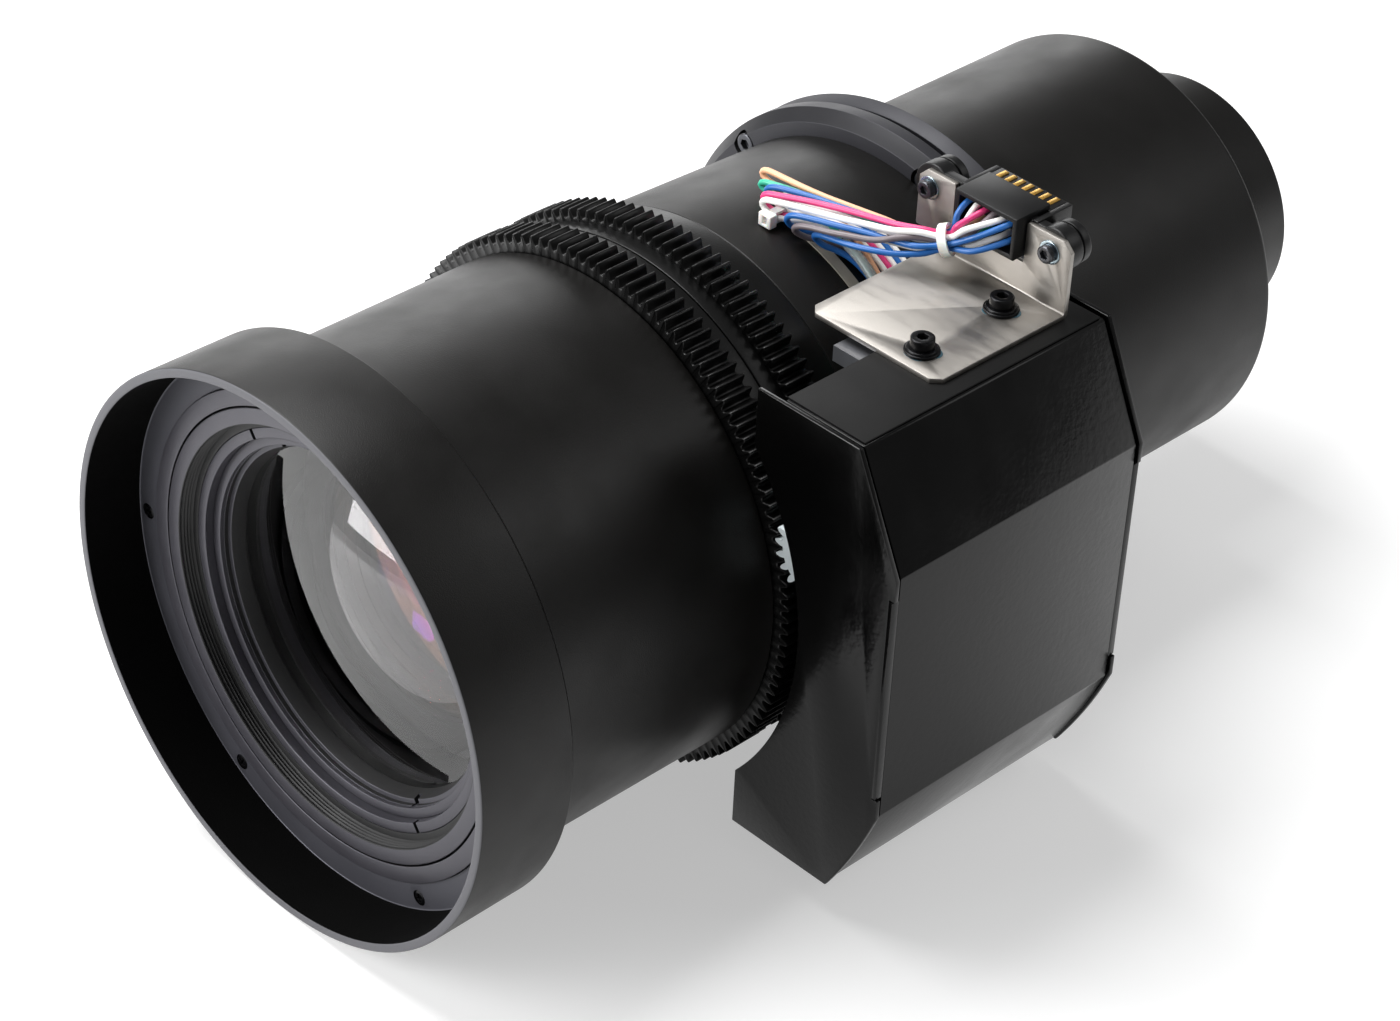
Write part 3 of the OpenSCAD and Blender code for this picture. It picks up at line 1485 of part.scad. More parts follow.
peach = [
  [44, -42.2, 69.1], [38, -42.9, 68], [32, -43.2, 67.6], [26, -43.6, 67], [20, -43.7, 66.2],
  [14, -44, 65.6], [8, -44.4, 65.3], [1, -44.4, 64.9], [-4.6, -44.3, 64.4], [-6.2, -44.3, 63.2],
  [-5, -44.2, 62], [-1, -44.1, 61.6], [4, -43.9, 61.8], [8, -43.9, 62.6], [12, -44, 63.1],
  [16, -44.1, 62.4], [20, -44, 61.2], [25, -44.2, 58.8], [30, -44.2, 54.9], [37, -45.7, 51.4],
  [45, -49, 51.4]
];
grey = [
  [44.4, -45.8, 69.8], [40.8, -48.9, 69.3], [36, -51.2, 67.4], [30, -53.1, 66.4], [25, -54.4, 65.6],
  [20, -55, 64.7], [16.8, -55.4, 63.7], [15.2, -55.3, 62.4], [15.2, -54.4, 60.9], [16.4, -52.4, 59.4],
  [18.6, -49.4, 58.2], [21.5, -46.6, 57.2], [25, -44.6, 55.8], [31, -43.8, 52.7], [38, -45.4, 49.5],
  [46, -47.6, 49.6]
];
blue_b = [
  [45, -47.1, 68.4], [39, -48.5, 67.6], [32, -50.4, 67.2], [26, -52.3, 66.8], [20, -53.7, 66.2],
  [15, -54.8, 65.4], [12.9, -55, 64.3], [12.2, -54.7, 62.8], [12.7, -53.3, 61], [14.4, -50.8, 59.5],
  [17, -47.4, 58.7], [20, -44.6, 57.7], [24, -42.3, 56.1], [31, -41.8, 52.6], [38, -43.4, 49.5],
  [46, -46, 49.6]
];
blue_c = [
  [46.4, -46.2, 66.8], [42, -49.8, 66], [37, -52.2, 65.5], [31, -53.6, 64.7], [25, -53.7, 63.6],
  [21.6, -53.5, 62.8], [19.5, -53.1, 61.6], [19.4, -52.1, 60], [20.6, -50.8, 58.5], [23, -48.4, 57.1],
  [26, -46.6, 55.4], [31, -45.7, 52.3], [38, -48, 49.4], [46, -51.4, 49.9]
];
white_b = [
  [44, -44.8, 66.6], [38, -46.6, 65.8], [32, -48.3, 65.5], [26, -49.8, 65.4], [20, -50.6, 65.2],
  [14, -51.1, 64.9], [8, -51, 64.5], [5.6, -50.9, 63.9], [4.8, -50.8, 62.9], [5.8, -50.4, 61.9],
  [8.6, -50.2, 61.5], [12, -47.8, 61.5], [16, -44.2, 60.5], [20, -41.2, 59.3], [24, -39.2, 57.8],
  [30, -38.8, 54.6], [37, -39.7, 51.3], [45, -41.7, 51]
];
white_c = [
  [44, -44.1, 68.5], [38, -45.4, 67.6], [32, -46.8, 67], [26, -47.6, 66.6], [20, -48.2, 65.8],
  [14, -48.6, 65], [9, -48.4, 63.9], [5, -46.9, 63.4], [3.2, -45.8, 62.7], [3.2, -45.5, 61.9],
  [5.4, -45.4, 61.4], [8.6, -45.2, 61.2], [12, -43.6, 61.2], [16, -40.4, 60.4], [20, -37.6, 59.3],
  [24, -36, 57.8], [30, -35.6, 54.6], [37, -36.5, 51.3], [45, -38.2, 51]
];

// Places in the first tie, across and up from its middle, in wire pitches
tie_centre = [49.5, -41.5, 70];
tie_across = [0.5, -0.86, 0];
tie_pitch_share = 1.35;
header_pitch = 1.6;
contact_row_drop = [2.7, 7.1];
contact_row_z = [connector_top_z - contact_row_drop[0], connector_top_z - contact_row_drop[1]];

// Where a wire leaves the connector: contact place along the row, and the row
function wire_start(place, row) = [
  connector_x + (place - (contacts_n - 2) / 2) * contact_pitch, y_pocket, contact_row_z[row]
];
function tie_point(across, up) = tie_centre + wire_d * tie_pitch_share * (across * tie_across + [0, 0, up]);
function header_y(place) = -header_front + header_pitch * (place + 1);
function wire_route(place, row, mid, across, up, route, header) =
  let (start = wire_start(place, row))
  concat(
    [start, start - [0, pocket_depth - wire_d, 0], mid, tie_point(across, up)], route,
    [[x_header - 4 * wire_d, header_y(header), z_header], [x_header, header_y(header), z_header]]
  );

// Smooth curve through the points of a route
function curve_point(a, b, c, d, t) =
  0.5 * ((2 * b) + (c - a) * t + (2 * a - 5 * b + 4 * c - d) * t * t
    + (3 * b - a - 3 * c + d) * t * t * t);
function smooth(points, step) = let (n = len(points)) concat(
  [for (i = [0 : n - 2])
    let (a = points[max(i - 1, 0)], b = points[i], c = points[i + 1], d = points[min(i + 2, n - 1)],
       parts = max(1, round(norm(c - b) / step)))
    for (k = [0 : parts - 1]) curve_point(a, b, c, d, k / parts)],
  [points[n - 1]]
);
function unit(v) = v / norm(v);
function tangent(line, i) = unit(line[min(i + 1, len(line) - 1)] - line[max(i - 1, 0)]);

// Frames carried along a line without twisting
function frames(line, i, side) = i >= len(line) ? [] :
  let (t = tangent(line, i), s = unit(side - (side * t) * t))
  concat([[s, cross(t, s)]], frames(line, i + 1, s));

// One unbroken tube along a line of points
module tube(line, r) {
  n = len(line);
  frame = frames(line, 0, [0, 0, 1]);
  polyhedron(
    points = [for (i = [0 : n - 1], k = [0 : wire_sides - 1])
      let (a = 360 * k / wire_sides)
      line[i] + r * (cos(a) * frame[i][0] + sin(a) * frame[i][1])],
    faces = concat(
      [[for (k = [0 : wire_sides - 1]) k]],
      [for (i = [0 : n - 2], k = [0 : wire_sides - 1])
        let (a = i * wire_sides + k, b = i * wire_sides + (k + 1) % wire_sides)
        [a, a + wire_sides, b + wire_sides, b]],
      [[for (k = [wire_sides - 1 : -1 : 0]) (n - 1) * wire_sides + k]]
    )
  );
}

module wire(place, row, mid, across, up, route, header) {
  tube(smooth(wire_route(place, row, mid, across, up, route, header), wire_step), wire_r);
}

module wires_blue() {
  color("#2f6fb5") {
    wire(0, 0, [49.2, -39, 75.6], -1, 0.9, blue_a, 8);
    wire(5, 0, [56.9, -41.2, 74], 1.5, 0, blue_b, 4);
    wire(5, 1, [57, -41.8, 70.6], 1, -0.9, blue_c, 1);
  }
}

module wires_white() {
  color("#f1efec") {
    wire(4, 0, [54.6, -42.2, 75.2], 1, 0.9, white_a, 5);
    wire(4, 1, [54.6, -40.2, 70.5], 0, -0.9, white_b, 7);
    wire(1, 0, [51, -40.1, 72.4], -0.5, 0, white_c, 9);
  }
}

module wires_coloured() {
  color("#d8466f") {
    wire(2, 0, [52.4, -42.4, 75.3], 0, 0.95, pink, 6);
    wire(3, 0, [54, -40.7, 72.8], 0.5, 0, grey, 3);
    wire(2, 1, [51.9, -39.7, 70.4], -1, -0.9, teal, 0);
    wire(1, 1, [50.4, -39.4, 70.8], -1.5, 0, peach, 2);
  }
}

// Nylon ties: a strap loop and a square head
tie_w = 2.2;
tie_t = 0.8;
tie_head = [4, 3.4, 2.4];
first_tie_r = 3.1;
first_tie_turn = [0, -20, 30];
first_tie_centre = [49, -41.9, 69.8];
first_tie_head_drop = 1.95;
second_tie_t = 0.7;
second_tie_size = [3.1, 1.6];
second_tie_centre = [7.5, -53, 61.5];

module cable_ties() {
  color("#f2f1ee") {
    translate(first_tie_centre) rotate(first_tie_turn) {
      rotate([90, 0, 90]) translate([0, 0, -tie_w / 2]) linear_extrude(tie_w) difference() {
        circle(first_tie_r + tie_t, $fn = small_fn);
        circle(first_tie_r, $fn = small_fn);
      }
      translate([-tie_head[0] / 2, first_tie_r + tie_t / 2, -tie_head[1] / 2 - first_tie_head_drop])
        cube([tie_head[0], tie_head[2], tie_head[1]]);
    }
    translate(second_tie_centre) rotate([90, 0, 90]) translate([0, 0, -tie_w / 2]) linear_extrude(tie_w)
      difference() {
        square(second_tie_size + 2 * [second_tie_t, second_tie_t], center = true);
        square(second_tie_size, center = true);
      }
    translate(second_tie_centre
      - [tie_head[0] / 2, second_tie_size[0] / 2 + second_tie_t / 2 + tie_head[2], tie_head[1] / 2])
      cube([tie_head[0], tie_head[2], tie_head[1]]);
  }
}

// Clear sleeve round the teal wire
sleeve_r = 1.3;
sleeve_inner_r = 0.7;
sleeve_from = 16;
sleeve_to = 18;

module wire_sleeve() {
  color("#dfe3e4")
  difference() {
    tube(smooth([for (i = [sleeve_from : sleeve_to]) teal[i]], wire_step), sleeve_r);
    tube(smooth([for (i = [sleeve_from - 1 : sleeve_to + 1]) teal[i]], wire_step), sleeve_inner_r);
  }
}

// Flat grey strip that lies on the barrel beside the wires
strip_t = 0.35;
strip_w = 3;
strip_from = 56;
strip_to = 76;
strip_y = -50;
strip_r = mid_r(strip_y - strip_w / 2) + fit_gap;

module sensor_strip() {
  color("#a09c94")
  rotate([-90, 0, 0]) rotate([0, 0, -strip_to])
    rotate_extrude(angle = strip_to - strip_from)
      translate([strip_r, strip_y - strip_w / 2]) square([strip_t, strip_w]);
}

hood();
hood_back_ring();
hood_screws();
front_barrel();
main_barrel();
focus_ring();
zoom_ring();
focus_key();
zoom_key();
guide_pins();
flange_plate();
seat_ring();
flange_screws();
rear_barrel();
tail_tube();
tail_screws();
focus_cell();
front_retaining_ring();
lens_retainer();
front_lens();
second_lens();
third_lens();
zoom_cell();
fourth_lens();
fifth_lens();
sixth_lens();
rear_lens();
rear_retainer();
box_front_plate();
box_rear_plate();
box_cover();
box_top_plate();
box_posts();
motor_frame();
frame_screws();
gear_plate();
gear_plate_posts();
focus_gearbox();
zoom_gearbox();
focus_motor();
zoom_motor();
focus_pinion();
zoom_pinion();
focus_sensor();
zoom_sensor();
focus_sensor_gear();
zoom_sensor_gear();
terminal_board();
connector_bracket();
bracket_screws();
bracket_washers();
connector_body();
connector_contacts();
connector_screws();
wires_blue();
wires_white();
wires_coloured();
cable_ties();
wire_sleeve();
sensor_strip();
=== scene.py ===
import math

import bmesh
import bpy
from mathutils import Matrix, Vector


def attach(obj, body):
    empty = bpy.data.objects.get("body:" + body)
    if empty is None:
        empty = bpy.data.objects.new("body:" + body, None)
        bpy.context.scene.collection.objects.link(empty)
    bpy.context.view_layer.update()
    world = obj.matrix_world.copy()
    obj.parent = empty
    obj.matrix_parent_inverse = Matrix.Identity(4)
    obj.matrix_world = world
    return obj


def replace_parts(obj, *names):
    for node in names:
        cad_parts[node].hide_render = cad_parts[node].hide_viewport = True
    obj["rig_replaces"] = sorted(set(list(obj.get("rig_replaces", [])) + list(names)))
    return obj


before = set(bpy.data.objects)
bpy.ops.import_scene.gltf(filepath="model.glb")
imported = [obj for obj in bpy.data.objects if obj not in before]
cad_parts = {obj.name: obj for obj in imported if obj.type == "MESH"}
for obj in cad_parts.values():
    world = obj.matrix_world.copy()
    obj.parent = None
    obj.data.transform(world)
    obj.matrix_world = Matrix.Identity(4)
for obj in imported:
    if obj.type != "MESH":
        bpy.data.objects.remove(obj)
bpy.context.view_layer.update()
MM = 0.001


# Colours and material nodes
def srgb(code):
    """Linear colour of an sRGB hex code."""
    parts = [int(code[i:i + 2], 16) / 255 for i in (1, 3, 5)]
    return [c / 12.92 if c <= 0.04045 else ((c + 0.055) / 1.055) ** 2.4 for c in parts] + [1.0]


def add(tree, kind, inputs=(), **settings):
    """Adds a node, sets its properties, and fills or links its inputs by name."""
    node = tree.nodes.new(kind)
    for key, value in settings.items():
        setattr(node, key, value)
    for key, value in dict(inputs).items():
        if hasattr(value, "is_output"):
            tree.links.new(value, node.inputs[key])
        else:
            node.inputs[key].default_value = value
    return node


def blank(name):
    """A new material, its empty tree and its object coordinates."""
    material = bpy.data.materials.new(name)
    material.use_nodes = True
    tree = material.node_tree
    tree.nodes.clear()
    return material, tree, add(tree, "ShaderNodeTexCoord").outputs["Object"]


def surface(name, colour, rough, metal=0.0, grain=0.0, grain_mm=0.35, tone=0.08, patch_mm=14.0,
            rough_spread=0.05, stretch=(1, 1, 1), **sockets):
    """A finish with patchy tone, uneven gloss and a fine grain in its bump."""
    material, tree, place = blank(name)
    stretched = add(tree, "ShaderNodeMapping", {"Vector": place, "Scale": stretch}).outputs["Vector"]
    patches = add(tree, "ShaderNodeTexNoise", {"Vector": stretched, "Scale": 1000 / patch_mm, "Detail": 3.0})
    fine = add(tree, "ShaderNodeTexNoise", {"Vector": stretched, "Scale": 1000 / grain_mm, "Detail": 2.0})
    base = srgb(colour)
    low = [c * (1 - tone) for c in base[:3]] + [1.0]
    high = [min(1.0, c * (1 + tone)) for c in base[:3]] + [1.0]
    # Inputs 6 and 7 of a colour mix are its two colours, and output 2 is the mixed one
    mixed = add(tree, "ShaderNodeMix", {"Factor": patches.outputs["Fac"], 6: low, 7: high}, data_type="RGBA")
    gloss = add(tree, "ShaderNodeMapRange", {
        "Value": patches.outputs["Fac"], "From Min": 0.3, "From Max": 0.7,
        "To Min": max(0.02, rough - rough_spread), "To Max": min(1.0, rough + rough_spread)})
    shader = add(tree, "ShaderNodeBsdfPrincipled", {
        "Base Color": mixed.outputs[2], "Roughness": gloss.outputs["Result"], "Metallic": metal})
    if grain:
        bump = add(tree, "ShaderNodeBump", {
            "Strength": grain, "Distance": grain_mm * MM * 0.25, "Height": fine.outputs["Fac"]})
        tree.links.new(bump.outputs["Normal"], shader.inputs["Normal"])
    for key, value in sockets.items():
        shader.inputs[key.replace("_", " ")].default_value = value
    add(tree, "ShaderNodeOutputMaterial", {"Surface": shader.outputs["BSDF"]})
    return material


# Grains finer than 0.15 mm on the real finishes are drawn at least that coarse, so that they show.
# Black satin paint of the hood and barrels: soft, wide highlights
black_paint = surface("black_satin_paint", "#0d0c0b", 0.4, grain=0.5, grain_mm=0.3, tone=0.12,
                      Specular_IOR_Level=0.26)
# The hood's turned front rim: the same black paint, drawn greyer as a painted sheen of the light glancing off
# its face
rim_painted_sheen = surface("grey_rim_painted_sheen", "#4f4f53", 0.45, grain=0.3, grain_mm=0.25, tone=0.06,
                    Specular_IOR_Level=0.3)
# Deep matte black inside the hood, which swallows stray light
matte_black = surface("matte_black_paint", "#020202", 0.85, grain=0.6, grain_mm=0.4, Specular_IOR_Level=0.06)
# Ledge and collar in dark anodised aluminium
dark_anodised = surface("dark_anodised_aluminium", "#47474d", 0.42, metal=0.5, grain=0.15, grain_mm=0.2,
                        Specular_IOR_Level=0.3)
# Lens rings in violet-grey anodised aluminium
ring_anodised = surface("grey_anodised_aluminium", "#45444a", 0.36, metal=0.5, grain=0.12, grain_mm=0.15,
                        tone=0.05)
# Blackened inside walls of the cells
cell_black = surface("cell_black", "#0b0b0c", 0.6, grain=0.3)
# Black moulded plastic of the gear rings
gear_plastic = surface("black_gear_plastic", "#070707", 0.32, grain=0.25, grain_mm=0.5, tone=0.15,
                       Specular_IOR_Level=0.25)
# Flange in grey-black anodised aluminium
flange_anodised = surface("grey_black_anodised", "#303034", 0.44, metal=0.3, grain=0.35, grain_mm=0.25,
                          Specular_IOR_Level=0.25)
# Flange chamfer, lighter from its fresh cut
chamfer_anodised = surface("grey_chamfer", "#252528", 0.42, metal=0.35, grain=0.2, grain_mm=0.2,
                           Specular_IOR_Level=0.3)
# Painted sheet metal of the motor box
gloss_sheet = surface("black_painted_sheet", "#030303", 0.2, grain=0.1, grain_mm=1.6, tone=0.1,
                      Specular_IOR_Level=0.26)
# Cut edge of that sheet where the paint is thin
sheet_edge = surface("thin_paint_edge", "#4c4c4f", 0.3, metal=0.5)
# Matte insulating film
film = surface("black_film", "#090909", 0.6, grain=0.5, grain_mm=0.3, Specular_IOR_Level=0.18)
# Rolled stainless steel of the bracket
stainless = surface("stainless_steel", "#9a9691", 0.44, metal=1.0, grain=0.1, grain_mm=0.5, tone=0.05,
                    patch_mm=9, rough_spread=0.07, stretch=(1, 4, 4))
# Bright sheared edge of the bracket
steel_edge = surface("sheared_steel_edge", "#c9c4bd", 0.22, metal=1.0)
# Black oxide screws
oxide = surface("black_oxide_steel", "#141416", 0.27, metal=0.7, grain=0.25, grain_mm=0.3)
# Plain steel screws, darkened by handling
screw_steel = surface("dark_screw_steel", "#4d4e52", 0.3, metal=0.9, grain=0.2, grain_mm=0.3)
# Zinc-plated ring of the tab screws
zinc = surface("zinc_plating", "#9fb0ba", 0.25, metal=1.0)
# Blue threadlocker that has crept out round a screw
threadlocker = surface("blue_threadlocker", "#3c5a66", 0.22, tone=0.3, patch_mm=2)
# Glass-filled nylon of the connector
connector_plastic = surface("black_connector_plastic", "#0c0c0d", 0.38, grain=0.35, grain_mm=0.25,
                            Specular_IOR_Level=0.3)
# Gold plating of the contacts
gold = surface("gold_plating", "#eebb5c", 0.3, metal=1.0, tone=0.12, patch_mm=2)
# Natural nylon of the cable ties
nylon = surface("natural_nylon", "#efeeea", 0.36, grain=0.1, Subsurface_Weight=0.25, Subsurface_Scale=0.002)
# Clear sleeve
sleeve_plastic = surface("clear_sleeve", "#e9edef", 0.16, Transmission_Weight=0.72, IOR=1.46)
# Flat grey strip
strip_cloth = surface("grey_woven_strip", "#9b968b", 0.6, grain=0.8, grain_mm=0.35, tone=0.15, patch_mm=3)
# Brass of the keys, machined
brass = surface("brass", "#b9974f", 0.35, metal=1.0)
# Zinc-plated steel of plates, pins and posts: grey, with a soft gloss
steel = surface("zinc_plated_steel", "#8f9196", 0.38, metal=0.9, grain=0.1)
# Cast zinc of the gearboxes, dull and slightly rough
gearbox_zinc = surface("cast_zinc", "#5a5b60", 0.5, metal=0.8, grain=0.3)
# White acetal of the pinions, moulded
acetal = surface("white_acetal", "#d9e2e4", 0.4, grain=0.1)
# Blue moulded cases of the position sensors
sensor_blue = surface("blue_sensor_case", "#2a4777", 0.4)
# Green lacquer of the terminal board
board_green = surface("green_board", "#275f38", 0.35)
# Extruded PVC of the wires, smooth with a soft gloss
WIRE_COLOURS = {"blue": "#1f5fa6", "white": "#efedea", "pink": "#d63a78", "grey": "#6d6468",
                "teal": "#36b08f", "peach": "#f0b58e"}
wire_pvc = {k: surface("pvc_" + k, v, 0.36, grain=0.15, grain_mm=0.6, tone=0.05, patch_mm=4)
            for k, v in WIRE_COLOURS.items()}


def glass(name, tint, film_nm, ior=1.6):
    """Coated optical glass."""
    material, tree, place = blank(name)
    patches = add(tree, "ShaderNodeTexNoise", {"Vector": place, "Scale": 25.0})
    gloss = add(tree, "ShaderNodeMapRange", {"Value": patches.outputs["Fac"], "To Min": 0.0, "To Max": 0.012})
    shader = add(tree, "ShaderNodeBsdfPrincipled", {
        "Base Color": srgb(tint), "Roughness": gloss.outputs["Result"], "Transmission Weight": 1.0,
        "IOR": ior, "Thin Film Thickness": film_nm, "Thin Film IOR": 1.38})
    add(tree, "ShaderNodeOutputMaterial", {"Surface": shader.outputs["BSDF"]})
    return material


front_glass = glass("front_lens_glass", "#fbf9fb", 0.0, 1.62)
inner_glass = glass("inner_lens_glass", "#fbf8f6", 520.0, 1.68)
deep_glass = glass("deep_lens_glass", "#f8f9fc", 380.0, 1.68)


# Mesh helpers
def new_piece(name, verts, faces):
    """A mesh object from points in millimetres, welded, with its normals outwards."""
    mesh = bpy.data.meshes.new(name)
    mesh.from_pydata([Vector(v) * MM for v in verts], [], faces)
    body = bmesh.new()
    body.from_mesh(mesh)
    bmesh.ops.remove_doubles(body, verts=body.verts, dist=1e-7)
    bmesh.ops.dissolve_degenerate(body, edges=body.edges, dist=1e-8)
    bmesh.ops.recalc_face_normals(body, faces=body.faces)
    body.to_mesh(mesh)
    body.free()
    piece = bpy.data.objects.new(name, mesh)
    bpy.context.scene.collection.objects.link(piece)
    return piece


def settle(piece):
    """Turns a piece's modifiers into plain mesh."""
    bpy.context.view_layer.update()
    evaluated = piece.evaluated_get(bpy.context.evaluated_depsgraph_get())
    made = bpy.data.meshes.new_from_object(evaluated)
    old = piece.data
    piece.modifiers.clear()
    piece.data = made
    bpy.data.meshes.remove(old)
    return piece


def cut(piece, *cutters):
    """Takes the cutters' solids out of a piece."""
    for cutter in cutters:
        modifier = piece.modifiers.new("cut", "BOOLEAN")
        modifier.operation = "DIFFERENCE"
        modifier.solver = "EXACT"
        modifier.object = cutter
    settle(piece)
    for cutter in cutters:
        bpy.data.objects.remove(cutter)
    return piece


def soften(piece, width, segments=2, angle=32, finishes=()):
    """Rounds the sharp edges; of two finishes given, the second goes on the rounding."""
    for material in finishes:
        piece.data.materials.append(material)
    modifier = piece.modifiers.new("soften", "BEVEL")
    modifier.width = width * MM
    modifier.segments = segments
    modifier.limit_method = "ANGLE"
    modifier.angle_limit = math.radians(angle)
    modifier.material = len(finishes) - 1
    modifier.use_clamp_overlap = True
    return settle(piece)


def finish_piece(piece, body, materials, replaces=(), pick=None, sharp=38):
    """Gives a piece its materials, its shading and its body."""
    mesh = piece.data
    mesh.materials.clear()
    for material in materials:
        mesh.materials.append(material)
    if pick:
        for face in mesh.polygons:
            face.material_index = pick(face.center / MM, face.normal)
    for face in mesh.polygons:
        face.use_smooth = True
    mesh.set_sharp_from_angle(angle=math.radians(sharp))
    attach(piece, body)
    if replaces:
        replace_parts(piece, *replaces)
    return piece


def fillet(points, radius, steps=3):
    """Rounds the corners of a closed outline; a third number in a point is its own radius."""
    out = []
    for i, point in enumerate(points):
        r = point[2] if len(point) > 2 else radius
        here = Vector(point[:2])
        before = Vector(points[i - 1][:2]) - here
        after = Vector(points[(i + 1) % len(points)][:2]) - here
        opening = before.angle(after, 0.0) if before.length and after.length else 0.0
        if r <= 0 or opening > math.radians(172) or opening < 1e-3:
            out.append(here)
            continue
        run = min(r / math.tan(opening / 2), before.length * 0.45, after.length * 0.45)
        a, c = here + before.normalized() * run, here + after.normalized() * run
        for k in range(steps + 1):
            u = k / steps
            out.append(a * (1 - u) ** 2 + here * 2 * u * (1 - u) + c * u * u)
    return out


def lathe_mesh(profile, sides):
    """Points and faces of a closed [radius, y] outline turned round the lens axis."""
    verts, faces, n = [], [], len(profile)
    for k in range(sides):
        a = 2 * math.pi * k / sides
        verts += [(p[0] * math.cos(a), p[1], p[0] * math.sin(a)) for p in profile]
    for k in range(sides):
        m = (k + 1) % sides
        for i in range(n):
            j = (i + 1) % n
            if profile[i][0] < 1e-6 and profile[j][0] < 1e-6:
                continue
            faces.append((k * n + i, k * n + j, m * n + j, m * n + i))
    return verts, faces


def lathe(name, profile, radius=0.2, sides=192, steps=3):
    return new_piece(name, *lathe_mesh(fillet(profile, radius, steps), sides))


def prism(name, outline, low, high, axis="y"):
    """A flat outline pulled straight along an axis: [x, z] along y, or [x, y] along z."""
    n = len(outline)
    put = (lambda p, h: (p[0], h, p[1])) if axis == "y" else (lambda p, h: (p[0], p[1], h))
    verts = [put(p, low) for p in outline] + [put(p, high) for p in outline]
    faces = [tuple(range(n)), tuple(range(2 * n - 1, n - 1, -1))]
    faces += [(i, (i + 1) % n, n + (i + 1) % n, n + i) for i in range(n)]
    return new_piece(name, verts, faces)


def block(name, low, high):
    return prism(name, [(low[0], low[2]), (high[0], low[2]), (high[0], high[2]), (low[0], high[2])],
                 low[1], high[1])


def rod(name, radius, low, high, centre, axis="y", sides=32, turn=0.0):
    """A straight rod; centre is [x, z] along y, or [x, y] along z."""
    outline = [(centre[0] + radius * math.cos(turn + 2 * math.pi * k / sides),
                centre[1] + radius * math.sin(turn + 2 * math.pi * k / sides)) for k in range(sides)]
    return prism(name, outline, low, high, axis)


def joined(name, pieces):
    """One object from several."""
    body = bmesh.new()
    for piece in pieces:
        piece.data.transform(piece.matrix_basis)
        body.from_mesh(piece.data)
        old = piece.data
        bpy.data.objects.remove(piece)
        bpy.data.meshes.remove(old)
    mesh = bpy.data.meshes.new(name)
    body.to_mesh(mesh)
    body.free()
    made = bpy.data.objects.new(name, mesh)
    bpy.context.scene.collection.objects.link(made)
    return made


def moved(piece, matrix):
    piece.data.transform(matrix)
    return piece


def shift(x, y, z):
    """The matrix that moves a mesh by a distance in millimetres."""
    return Matrix.Translation(Vector((x, y, z)) * MM)


def polar(r, angle):
    return r * math.cos(math.radians(angle)), r * math.sin(math.radians(angle))


def ring_of(name, unit, count, radius, start, material):
    """Copies of a unit round the lens axis, spread by Geometry Nodes and then made plain mesh."""
    tree = bpy.data.node_groups.new("ring_of_copies", "GeometryNodeTree")
    sockets = tree.interface
    sockets.new_socket("Unit", in_out="INPUT", socket_type="NodeSocketGeometry")
    for title, value in (("Count", count), ("Radius", radius * MM), ("Start", math.radians(start))):
        kind = "NodeSocketInt" if title == "Count" else "NodeSocketFloat"
        sockets.new_socket(title, in_out="INPUT", socket_type=kind).default_value = value
    sockets.new_socket("Copies", in_out="OUTPUT", socket_type="NodeSocketGeometry")
    given = add(tree, "NodeGroupInput").outputs

    def worked(operation, *terms):
        return add(tree, "ShaderNodeMath", dict(enumerate(terms)), operation=operation).outputs[0]

    index = add(tree, "GeometryNodeInputIndex").outputs["Index"]
    share = worked("DIVIDE", index, given["Count"])
    angle = worked("MULTIPLY_ADD", share, 2 * math.pi, given["Start"])
    place = [worked("MULTIPLY", worked(wave, angle), given["Radius"]) for wave in ("COSINE", "SINE")]
    spot = add(tree, "ShaderNodeCombineXYZ", {"X": place[0], "Z": place[1]}).outputs["Vector"]
    turned = add(tree, "ShaderNodeCombineXYZ", {"Y": worked("MULTIPLY", angle, -1.0)}).outputs["Vector"]
    points = add(tree, "GeometryNodePoints", {"Count": given["Count"], "Position": spot})
    euler = add(tree, "FunctionNodeEulerToRotation", {"Euler": turned})
    copies = add(tree, "GeometryNodeInstanceOnPoints", {
        "Points": points.outputs[0], "Instance": given["Unit"], "Rotation": euler.outputs[0]})
    real = add(tree, "GeometryNodeRealizeInstances", {"Geometry": copies.outputs[0]})
    paint = add(tree, "GeometryNodeSetMaterial", {"Geometry": real.outputs[0], "Material": material})
    add(tree, "NodeGroupOutput", {"Copies": paint.outputs[0]})
    unit.modifiers.new("copies", "NODES").node_group = tree
    unit.name = name
    return settle(unit)


# Camera at the photograph's angle
camera = bpy.data.objects.new("camera", bpy.data.cameras.new("camera"))
bpy.context.scene.collection.objects.link(camera)
camera.data.lens = 95.41
camera.data.sensor_width = 36.0
camera.data.clip_start = 0.05
camera.data.clip_end = 20.0
right, up, back = (Vector(v) for v in ((0.69521, 0.71762, 0.04131), (-0.44234, 0.38181, 0.81151),
                                       (0.56658, -0.58245, 0.58287)))
turn = Matrix((right, up, back)).transposed().to_4x4()
camera.matrix_world = shift(505.3, -585.1, 499.9) @ turn
bpy.context.scene.camera = camera

